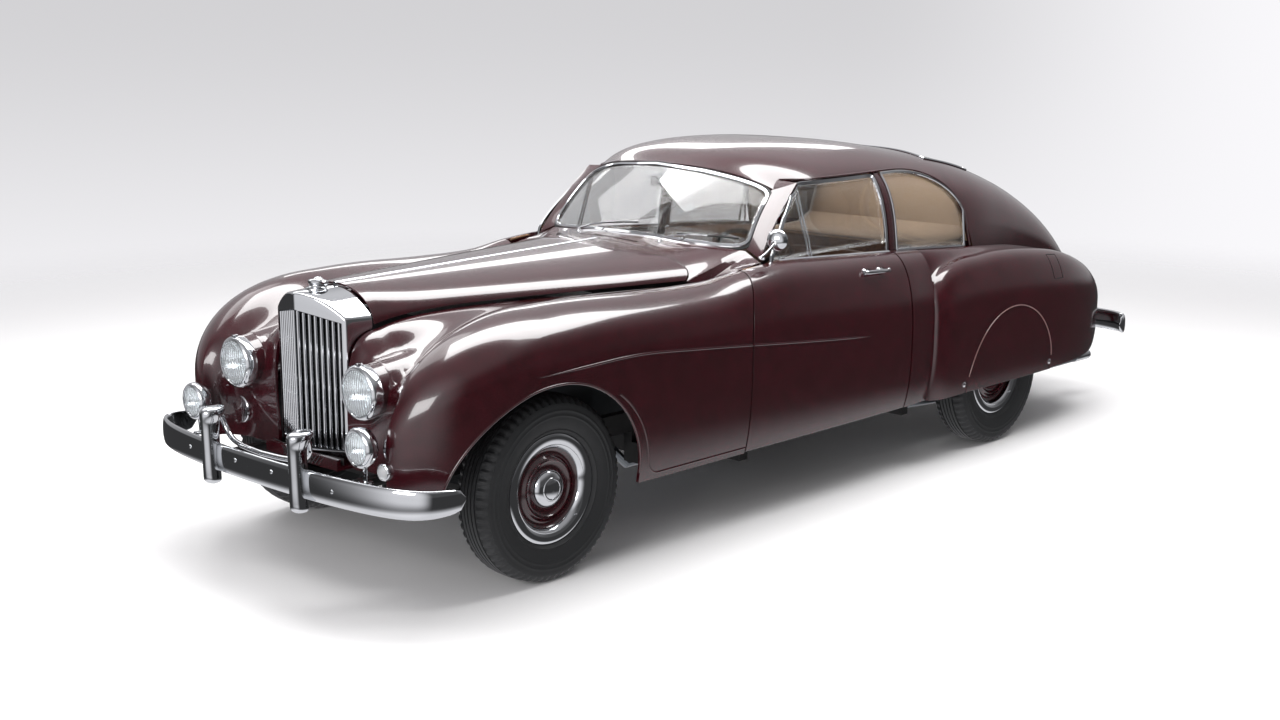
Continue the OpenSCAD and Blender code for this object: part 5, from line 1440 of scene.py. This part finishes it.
class CAR_OT_glazing(bpy.types.Operator):
    """Glass, its frames and seals"""
    bl_idname = "car.glazing"
    bl_label = "Glazing"

    def execute(self, context):
        us, vs = steps(-0.995, 0.995, 80), steps(0.005, 0.995, 28)
        grid = [[tuple(screen_at(u, v)) for v in vs] for u in us]

        def keep(i, j):
            u, v = (us[i] + us[i + 1]) / 2, vs[j] + vs[j + 1] - 1
            return abs(u) ** SCREEN_CORNER + abs(v) ** SCREEN_CORNER < 1
        piece("windscreen_pane", sheet_mesh(grid, keep=keep, centre=(0, 1800, 900)), "car", "glass",
              "windscreen", thick=5)
        pts, ups = screen_loop(220)
        piece("windscreen_moulding", sweep_mesh(pts, oblong(17, 9, 3, dv=-1), ups, closed=True), "car",
              "chrome")
        pts, ups = screen_loop(220, 0.018)
        piece("windscreen_seal", sweep_mesh(pts, oblong(26, 6, 2, dv=-3), ups, closed=True), "car", "rubber")
        # Door panes and the bars of the front quarter light
        z_in = steps(belt_z(1330), FRAME_TOP_Z - 14, 12)
        y_in = [pillar_y(z) + 30 for z in z_in]
        rows = []
        for t in steps(0, 1, 24):
            row = []
            for y, z in zip(y_in, z_in):
                yy = mix(y, FRAME_Y1 - 16, t)
                low = max(z, belt_z(yy) + 1) if z == z_in[0] else z
                row.append(upper_side(yy, low, 10))
            rows.append(row)
        quarter = []
        for y in steps(DOOR_REAR_Y + 62, 2850, 26):
            top = max(gutter(place_of(y + 8)) - 12, belt_z(y) + 8)
            quarter.append([upper_side(y, mix(belt_z(y) + 2, top, u), 8) for u in steps(0, 1, 10)])
        for side in ("left", "right"):
            panes = [sheet_mesh(rows, centre=(300, 1700, 1100)),
                     sheet_mesh(quarter, centre=(300, 2500, 1100))]
            bars = []
            for dy in (-9, 9):
                foot, head = upper_side(1613 + dy, belt_z(1613) - 6,
                                        9), upper_side(1619 + dy, FRAME_TOP_Z - 8, 9)
                path = [tuple(Vector(foot).lerp(Vector(head), u)) for u in steps(0, 1, 6)]
                bars.append(sweep_mesh(path, oblong(7, 9), (1, 0, 0.18)))
            strip = [(crown_x(y) + 1.5, y + lean(y, 1080), belt_z(y) - 2)
                     for y in steps(DOOR_FRONT_Y + 250, DOOR_REAR_Y - 6, 30)]
            bars.append(sweep_mesh(strip, oblong(13, 7, 2.5), (0.7, 0, 0.7)))
            on_side(side, *panes, *bars)
            piece("door_pane_" + side, panes[0], "door_%s_body" % side, "glass", "door_glass_" + side,
                  thick=5)
            piece("quarter_pane_" + side, panes[1], "car", "glass", thick=5)
            piece("door_glass_bars_" + side, join_meshes(bars), "door_%s_body" % side, "chrome")
        places = steps(REAR_GLASS_S[0] + 0.01, REAR_GLASS_S[1] - 0.01, 16)
        rear = [mirrored_row([upper_at(s, w) for w in steps(0, w_of_x(s, GLASS_HALF - 3), 12)])
                for s in places]
        piece("rear_pane", sheet_mesh(rear, centre=(0, 2700, 800)), "car", "glass", "rear_glass", thick=5)
        loop = [upper_at(places[0], w) for w in steps(0, w_of_x(places[0], GLASS_HALF - 3), 20)]
        loop += [upper_at(s, w_of_x(s, GLASS_HALF - 3)) for s in places[1:-1]]
        loop += [upper_at(places[-1], w) for w in steps(w_of_x(places[-1], GLASS_HALF - 3), 0, 20)]
        loop += [flip(p) for p in loop[-2:0:-1]]
        ups = [(p[0] * 0.0006, 0.25, 1) for p in loop]
        piece("rear_pane_moulding", sweep_mesh(loop, oblong(16, 9, 3, dv=-1), ups, closed=True), "car",
              "chrome")
        # Quarter window frame: along the belt, round the tail of the glass and back under the gutter
        y0, y1 = DOOR_REAR_Y + 60, 2850
        low = [upper_side(y, belt_z(y) + 3, 2) for y in steps(y0, y1 - 20, 24)]
        top = [upper_side(y, max(gutter(place_of(y + 8)) - 10, belt_z(y) + 10), 2) for y in steps(y1, y0, 30)]
        up = [upper_side(y0, z, 2) for z in steps(gutter(place_of(y0)) - 20, belt_z(y0) + 14, 8)]
        loop = low + top + up
        ring = sweep_mesh(loop, oblong(13, 8, 2.5), (1, 0, 0.2), closed=True)
        piece("quarter_window_frames", doubled(ring), "car", "chrome")
        rail = []
        for s in steps(PILLAR_S + 0.02, 4.7, 60):
            q = upper_at(s, upper_w(s, gutter(s)))
            rail.append((q[0] + 3, q[1], q[2] + 2))
        piece("roof_gutters", doubled(tube_mesh(rail, 4.5, 10)), "car", "paint")
        return {"FINISHED"}


def side_point(y, z, out=0.0):
    """A point on the side of the front wing or door at height z."""
    s = y - lean(y, z)
    if z <= wide_z(s):
        x = low_x(s, z)
    else:
        k = clamp((z - wide_z(s)) / (crown_z(s) - wide_z(s)))
        x = crown_x(s) + (wide_x(s) - crown_x(s)) * power(cosd(asind(k ** (1 / ROUND_K))), ROUND_K)
    return (x + out, y, z)


# Ways that the door's face and the mirror look, and the mirror's middle
DOOR_FACE, MIRROR_FACE, MIRROR = (0.93, 0, 0.35), (-0.25, 1, 0), (806, 1292, 1197)
# The raised line along the side: y, height
SIDE_LINE = [(-142, 834), (0, 839), (373, 847), (700, 822), (1059, 789), (1450, 752), (1871, 715)]


class CAR_OT_brightwork(bpy.types.Operator):
    """Side lines, arch lips, handles, mirror and wipers"""
    bl_idname = "car.brightwork"
    bl_label = "Brightwork"

    def execute(self, context):
        def line(y0, y1):
            path = [side_point(y, at(SIDE_LINE, 1, y), 0.2) for y in steps(y0, y1, 60)]
            taper = (lambda t: clamp(min(t * 6, 1) if y0 < 0 else min((1 - t) * 6, 1), 0.15, 1))
            return sweep_mesh(path, oval(5.0, 3.6), (1, 0, 0), flat=taper)
        front, door = line(-142, DOOR_FRONT_Y - 6), line(DOOR_FRONT_Y + 6, 1871)
        piece("wing_side_lines", doubled(front), "car", "paint")
        for side in ("left", "right"):
            bm = door.copy()
            on_side(side, bm)
            piece("door_side_line_" + side, bm, "door_%s_body" % side, "paint")
        door.free()
        rows = wing_rows()
        first = next(i for i, r in enumerate(rows) if r[1] > WING_LOW_Z)
        arch = [r for r in rows[first - 1:] if r[0] <= WING_ARCH_Y + ARCH_REAR + 1]
        lip = [(low_x(s, z) - 3 if z <= wide_z(s) else side_point(s, z)[0] - 3, s, z) for s, z in arch]
        rear = WING_ARCH_Y + ARCH_REAR
        bead = [(y + 44, z) for y, z in arch if y > WING_ARCH_Y + 250 and z > SILL_Z + 60]
        bead += [(rear + 58, SILL_Z + 50), (rear + 90, SILL_Z + 28)]
        bead += [(y, SILL_Z + 26) for y in steps(rear + 140, DOOR_FRONT_Y - 8, 8)]
        bead = smooth_path([side_point(y, z, 0.3) for y, z in bead], 3)
        lips = [tube_mesh(lip, 5.5, 12), sweep_mesh(bead, oval(4.5, 3.2), (1, 0, 0))]
        piece("arch_lips", doubled(join_meshes(lips)), "car", "paint")
        # Door handles: a pull on two round feet
        for side in ("left", "right"):
            foot = [side_point(y, z) for y, z in ((1880, 1001), (1990, 996))]
            pull = smooth_path([(foot[0][0] + 22, 1862, 1001), (foot[0][0] + 27, 1884, 1001),
                                (foot[0][0] + 28, 1940, 999),
                                (foot[1][0] + 26, 1996, 996), (foot[1][0] + 20, 2030, 994)], 8)
            parts = [sweep_mesh(pull, oval(9, 5, 20), (1, 0, 0.3),
                                flat=lambda t: mix(0.55, 1, arc01(abs(2 * t - 1), 3)))]
            for q in foot:
                parts.append(turned_mesh([(15, -3), (15, 2), (11, 5), (7, 8), (6, 24)], q, DOOR_FACE, 28))
            parts.append(turned_mesh([(9, -2), (9, 3), (7, 4.5), (0.01, 5)], side_point(2068, 990), DOOR_FACE,
                                     24))
            if side == "left":
                post = smooth_path([(800, 1204, 1136), (803, 1232, 1150), (806, 1268, 1176),
                                    (806, 1290, 1197)], 8)
                parts.append(tube_mesh(post, 5.5, 14))
                parts.append(turned_mesh([(14, -4), (14, 2), (10, 5), (6, 9)], (800, 1203, 1130), (0.3, 0, 1),
                                         24))
                shell = [(0.01, -22), (14, -21), (28, -17), (40, -9), (46, 0), (47.5, 6), (47, 9), (44, 10),
                         (43, 8)]
                parts.append(turned_mesh(shell, MIRROR, MIRROR_FACE, 48))
                face = turned_mesh([(43.5, 8), (0.01, 8)], MIRROR, MIRROR_FACE, 48)
                piece("mirror_face", face, "door_left_body", "reflector")
            bm = join_meshes(parts)
            on_side(side, bm)
            piece("door_handle_" + side, bm, "door_%s_body" % side, "chrome",
                  *(["door_mirror"] if side == "left" else []))
        # Wipers: pivots on the scuttle, arms and blades lying on the glass
        arms, blades = [], []
        for x, tip in ((256, 0.80), (-256, -0.02)):
            arms.append(turned_mesh([(15, -6), (15, 4), (12, 9), (9, 18), (6, 21), (0.01, 22)],
                                    (x, 1158, 1148), (0, -0.35, 1), 28))
            mid = screen_at((x / SCREEN_X + tip) / 2, 0.075)
            end = screen_at(tip, 0.115)
            up = screen_normal(0.3, 0.1)
            start = Vector((x, 1153, 1168))
            high = mid + up * 16
            path = [start, start.lerp(high, 0.5) + Vector((0, -2, 6)), high, mid.lerp(end, 0.6) + up * 15]
            arms.append(tube_mesh(smooth_path([tuple(q) for q in path], 6), 3.2, 8))
            us, vs = steps((x / SCREEN_X + tip) / 2 - 0.12, tip + 0.14, 12), steps(0.06, 0.135, 12)
            run = [tuple(screen_at(u, v) + up * 7) for u, v in zip(us, vs)]
            blades.append(sweep_mesh(run, oblong(5, 9), tuple(up)))
        piece("wiper_arms", join_meshes(arms), "car", "chrome")
        piece("wiper_blades", join_meshes(blades), "car", "rubber")
        return {"FINISHED"}


# Seats: y of the cushion's front, its length, height of the back
FRONT_SEAT, REAR_SEAT = (1690, 400, 1022), (2270, 350, 1004)
SEAT_X, SEAT_HALF, REAR_HALF, SEAT_LOW_Z = 360, 260, 560, 438
# How full a pad's middle is, how far its edges are drawn in, its plain edge, corner radius and seams' depth
CROWN, DRAWN_IN, PAD_EDGE, PAD_BEVEL, SEAM_DEPTH = 10, 4, 45, 34, 9
PAD_LOW_Z, PAD_TOP_Z, SQUAB_LOW_Z, SQUAB_SLOPE = 500, 632, 560, 0.2


def lean_mesh(bm, low_z, slope):
    """Lean a mesh back above a height."""
    base = low_z * MM
    for v in bm.verts:
        v.co.y += (v.co.z - base) * slope
    return bm


def stuffed(obj):
    """Crown a cushion: full in the middle of each face, drawn in towards its seams."""
    mesh = obj.data
    lo = [min(v.co[k] for v in mesh.vertices) for k in range(3)]
    hi = [max(v.co[k] for v in mesh.vertices) for k in range(3)]
    moves = []
    for v in mesh.vertices:
        share = 1.0
        for k in range(3):
            t = abs(2 * (v.co[k] - lo[k]) / (hi[k] - lo[k]) - 1)
            share *= 1 - (1 - abs(v.normal[k])) * t ** 3
        moves.append(v.normal * (CROWN * MM * share - DRAWN_IN * MM * (1 - share)))
    for v, move in zip(mesh.vertices, moves):
        v.co += move
    mesh.update()


def pleat(obj, x0, pitch, depth, front, edge):
    """Sink the seams between the sewn channels on the side that faces front."""
    mesh = obj.data
    for v in mesh.vertices:
        facing = soft((v.normal.dot(front) - 0.35) / 0.4)
        x = v.co.x / MM - x0
        inside = soft((edge - abs(x)) / 14)
        seam = math.exp(-((((x + pitch / 2) % pitch) - pitch / 2) / (0.17 * pitch)) ** 2)
        rim = math.exp(-((edge - abs(x)) / 6) ** 2)
        v.co -= v.normal * (depth * MM * facing * max(seam * inside, rim))
    mesh.update()


def pad(name, lo, hi, slope, channels, *nodes):
    """A leather pad between two corners, stuffed and then sewn in channels."""
    x0, sewn = (lo[0] + hi[0]) / 2, hi[0] - lo[0] - 2 * PAD_EDGE
    bm = box_mesh(lo, hi, PAD_BEVEL, 5)
    bmesh.ops.subdivide_edges(bm, edges=[e for e in bm.edges if e.calc_length() > 0.09], cuts=26,
                              use_grid_fill=True)
    lean_mesh(bm, lo[2], slope)
    obj = piece(name, bm, "car", "hide", *nodes, soft_angle=60)
    stuffed(obj)
    for poly in obj.data.polygons:
        poly.use_smooth = True
    front = Vector((0, -1, 0.25) if slope else (0, -0.25, 1)).normalized()
    pleat(obj, x0, sewn / channels, SEAM_DEPTH, front, sewn / 2)
    return obj


class CAR_OT_seats(bpy.types.Operator):
    """Pleated leather seats"""
    bl_idname = "car.seats"
    bl_label = "Seats"

    def execute(self, context):
        rows = [("front", "_left", SEAT_X, SEAT_HALF - 10, FRONT_SEAT, 8, 104, ["front_seats"]),
                ("front", "_right", -SEAT_X, SEAT_HALF - 10, FRONT_SEAT, 8, 104, []),
                ("rear", "", 0, REAR_HALF - 10, REAR_SEAT, 18, 96, ["rear_seat"])]
        for end, side, x, half, (y, length, high), channels, deep, nodes in rows:
            x0, x1, back = x - half, x + half, y + length
            pad(end + "_cushion" + side, (x0, y + 8, PAD_LOW_Z), (x1, back + 30, PAD_TOP_Z), 0, channels,
                *nodes)
            pad(end + "_squab" + side, (x0, back + 14, SQUAB_LOW_Z), (x1, back + 14 + deep, high),
                SQUAB_SLOPE, channels)
            base = box_mesh((x0 + 20, y + 30, SEAT_LOW_Z), (x1 - 20, back + 60, PAD_LOW_Z + 10), 6)
            piece(end + "_seat_frame" + side, base, "car", "enamel")
        return {"FINISHED"}


def inner_side(y, z, d):
    """A point inside the door or quarter panel."""
    p = side_point(y, z)
    return (p[0] - d, y, z)


# Dials of the instrument board: x, height, radius
DIALS = [(300, 985, 48), (420, 985, 48), (180, 1005, 26), (180, 945, 26), (100, 1005, 26), (100, 945, 26)]
COLUMN, COLUMN_TILT, WHEEL_R = (360, 1660, 985), 24, 205


class CAR_OT_cabin(bpy.types.Operator):
    """Headlining, trim panels, carpet, instrument board, steering wheel and mirror"""
    bl_idname = "car.cabin"
    bl_label = "Cabin"

    def execute(self, context):
        places = [0.3, 0.45] + steps(0.6, 4.55, 30) + steps(4.55, 5.75, 8)[1:] + steps(5.75, 6.9, 8)[1:]
        rows = []
        for s in places:
            mid = w_of_x(s, GLASS_HALF)
            edge = max(upper_w(s, gutter(s)) - 0.015, mid + 0.01) if s < 4.9 else 0.98
            row = mirrored_row([upper_at(s, w) for w in steps(0, mid, 8) + steps(mid, edge, 10)[1:]])
            rows.append([(q[0] * 0.965, q[1] + 4, q[2] - 27) for q in row])

        def keep(i, j):
            return not (10 <= j < 26 and REAR_GLASS_S[0] < (places[i] + places[i + 1]) / 2 < REAR_GLASS_S[1])
        lining = sheet_mesh(rows, keep=keep, centre=(0, 2400, 4000))
        piece("headlining", lining, "car", "cloth", thick=3)
        low = [upper_at(5.75, w) for w in steps(0, w_of_x(5.75, GLASS_HALF), 8)]
        shelf = []
        for q in mirrored_row(low):
            x = clamp(q[0] * 1.12, -560, 560)
            shelf.append([(x, 2725, 1006), (x, 2900, 1006), (x, 3090, 1012), (x, 3190, 1060),
                          (q[0], q[1] - 6, q[2] - 30)])
        piece("parcel_shelf", sheet_mesh(shelf, centre=(0, 3000, 0)), "car", "cloth", thick=4)
        card = [[inner_side(y, z, 44) for z in steps(420, belt_z(y) - 12, 12)]
                for y in steps(DOOR_FRONT_Y + 110, DOOR_REAR_Y - 22, 20)]
        capping = [[inner_side(y, belt_z(y) - 46, 50), inner_side(y, belt_z(y) - 24, 54),
                    inner_side(y, belt_z(y) - 12, 46), (crown_x(y) - 22, y, belt_z(y) - 4)]
                    for y in steps(DOOR_FRONT_Y + 290, DOOR_REAR_Y - 22, 20)]
        trim = [[(min(inner_side(y, z, 40)[0], 700), y, z) for z in steps(440, belt_z(y) - 14, 10)]
                for y in steps(DOOR_REAR_Y + 14, 2960, 14)]
        for side in ("left", "right"):
            parts = [sheet_mesh(card, centre=(2000, 1700, 700)),
                     sheet_mesh(capping, centre=(2000, 1700, 700)),
                     sheet_mesh(trim, centre=(2000, 2500, 700))]
            on_side(side, *parts)
            piece("door_card_" + side, parts[0], "door_%s_body" % side, "tan_hide", thick=6)
            piece("door_capping_" + side, parts[1], "door_%s_body" % side, "veneer", thick=4)
            piece("quarter_trim_" + side, parts[2], "car", "tan_hide", thick=6)
        carpet = [box_mesh((-680, 1125, 437.5), (680, 2590, 446), 2),
                  box_mesh((-185, 1125, 446.5), (185, 1900, 560), 30, 3)]
        piece("carpet", join_meshes(carpet), "car", "carpet")
        # The instrument board
        board = [box_mesh((-638, 1352, 884), (638, 1396, 1056), 8, 3),
                 box_mesh((-640, 1300, 1050), (640, 1400, 1076), 12, 3)]
        tube = turned_mesh([(28, 60), (30, 66), (30, 352), (27, 360)], COLUMN,
                           (0, -cosd(COLUMN_TILT), -sind(COLUMN_TILT)), 32)
        piece("instrument_board", join_meshes(board), "car", "veneer", "dashboard", soft_angle=40)
        piece("column_tube", tube, "car", "enamel")
        bezels, faces = [], []
        for x, z, r in DIALS:
            bezels.append(turned_mesh([(r + 4, 0), (r + 4, 5), (r + 1, 8), (r - 3, 6), (r - 4, 2)],
                                      (x, 1396, z), (0, 1, 0), 40))
            faces.append(turned_mesh([(r - 3, 2.5), (0.01, 2.5)], (x, 1396, z), (0, 1, 0), 40))
        piece("dial_bezels", join_meshes(bezels), "car", "chrome")
        piece("dial_faces", join_meshes(faces), "car", "enamel")
        axis = Vector((0, cosd(COLUMN_TILT), sind(COLUMN_TILT)))
        rim = turned_mesh([(WHEEL_R + 11 * cosd(a), 9.5 * sind(a)) for a in range(0, 361, 30)], COLUMN, axis,
                          96)
        across, up = Vector((1, 0, 0)), Vector((1, 0, 0)).cross(axis)
        spokes = []
        for turn in (90, 210, 330):
            d = across * cosd(turn) - up * sind(turn)
            c = Vector(COLUMN)
            path = [tuple(c + d * 30 + axis * 6), tuple(c + d * 100 + axis * 5), tuple(c + d * 200)]
            spokes.append(sweep_mesh(smooth_path(path, 4), oval(9, 4, 30), tuple(axis)))
        boss = turned_mesh([(0.01, 30), (16, 29), (22, 25), (24, 18)], COLUMN, axis, 40)
        hub = turned_mesh([(24, 20), (34, 16), (42, 4), (42, -18), (30, -30), (20, -34)], COLUMN, axis, 40)
        shaft = turned_mesh([(19, -34), (19, -300)], COLUMN, axis, 24)
        piece("steering_wheel_rim", join_meshes([rim, hub, shaft] + spokes), "steering_body", "enamel",
              "steering_wheel")
        piece("steering_wheel_boss", boss, "steering_body", "chrome")
        glass = box_mesh((-88, 1452, 1352), (88, 1464, 1400), 5, 3)
        rod = tube_mesh([(0, 1450, 1378), (0, 1440, 1398), (0, 1426, 1432), (0, 1418, 1446)], 2.6, 8)
        piece("cabin_mirror", join_meshes([glass, rod]), "car", "chrome", soft_angle=40)
        return {"FINISHED"}


class CAR_OT_details(bpy.types.Operator):
    """Filler flap, edges and locks of the wheel covers, blank rear plate and exhaust tip"""
    bl_idname = "car.details"
    bl_label = "Details"

    def execute(self, context):
        r = SPAT_R - 1
        arc = []
        for a in steps(12, 168, 50):
            y, z = WHEELBASE - r * cosd(a), COVER_Z + r * sind(a)
            arc.append((side_x_at(wing_section(y), z) + 0.5, y, z))
        foot = []
        for y in (WHEELBASE - SPAT_R - 24, WHEELBASE + SPAT_R - 16):
            spot = (side_x_at(wing_section(y), 372), y, 372)
            foot.append(turned_mesh([(13, -2), (13, 2), (10, 5), (0.01, 7)], spot, (1, 0, 0), 28))
        # The wheel covers' edge beads carry a painted highlight: a pale colour standing in for the light
        # caught on the maroon edge
        piece("wheel_cover_edges_painted_highlight", doubled(tube_mesh(arc, 1.9, 8)), "car", "painted_highlight_edge")
        piece("wheel_cover_locks", doubled(join_meshes(foot)), "car", "chrome")
        # The filler flap on the left wing, as a thin raised outline
        corners = [(3408, 926), (3500, 918), (3512, 800), (3424, 806), (3408, 926)]
        path = []
        for (ya, za), (yb, zb) in zip(corners, corners[1:]):
            for t in steps(0, 1, 12)[:-1]:
                y, z = mix(ya, yb, t), mix(za, zb, t)
                path.append((side_x_at(wing_section(y), z) + 0.4, y, z))
        piece("filler_flap_edge", sweep_mesh(path, oval(1.8, 1.2, 45), (1, 0, 0.2), closed=True),
              "car", "enamel")
        tip = turned_mesh([(25, -150), (27, -148), (27, 0), (24, 2), (22, 0), (22, -60), (0.01, -62)],
                          (560, WHEELBASE + 1345, 226), (0, 1, 0), 36)
        piece("exhaust_tip", tip, "car", "chrome")
        plate = [box_mesh((-260, WHEELBASE + 1262, 520), (260, WHEELBASE + 1268, 630), 2)]
        piece("rear_plate", join_meshes(plate), "boot_lid_body", "enamel")
        return {"FINISHED"}


class CAR_OT_finishes(bpy.types.Operator):
    """All the finishes, and those of the solids that stay in view"""
    bl_idname = "car.finishes"
    bl_label = "Finishes"

    def execute(self, context):
        make_materials(context.scene.car_sizes)
        picks = {slot: key for key, slot in SLOTS.items()}
        slots = {row["node"]: row["material_slot"] for row in frame["record"]["subparts"]}
        for name, obj in frame["nodes"].items():
            for slot in obj.material_slots:
                slot.material = MATERIALS[picks[slots[name]]]
        return {"FINISHED"}


OPERATORS = (CAR_OT_stage, CAR_OT_finishes, CAR_OT_front_wings, CAR_OT_bonnet, CAR_OT_roof, CAR_OT_pillars,
             CAR_OT_doors, CAR_OT_rear_wings, CAR_OT_wheels, CAR_OT_radiator, CAR_OT_lamps, CAR_OT_bumpers,
             CAR_OT_glazing, CAR_OT_brightwork, CAR_OT_seats, CAR_OT_cabin, CAR_OT_details)


class CAR_PT_panel(bpy.types.Panel):
    """Lists the car's pieces"""
    bl_idname = "CAR_PT_panel"
    bl_label = "Touring Car"
    bl_space_type = "VIEW_3D"
    bl_region_type = "UI"
    bl_category = "Touring Car"

    def draw(self, context):
        for cls in OPERATORS:
            self.layout.operator(cls.bl_idname)


def register():
    bpy.utils.register_class(CarSizes)
    for cls in OPERATORS + (CAR_PT_panel,):
        bpy.utils.register_class(cls)
    bpy.types.Scene.car_sizes = bpy.props.PointerProperty(type=CarSizes)


def unregister():
    del bpy.types.Scene.car_sizes
    for cls in (CAR_PT_panel,) + OPERATORS[::-1]:
        bpy.utils.unregister_class(cls)
    bpy.utils.unregister_class(CarSizes)


def main():
    register()
    for cls in OPERATORS:
        group, name = cls.bl_idname.split(".")
        getattr(getattr(bpy.ops, group), name)()


if __name__ == "__main__":
    main()
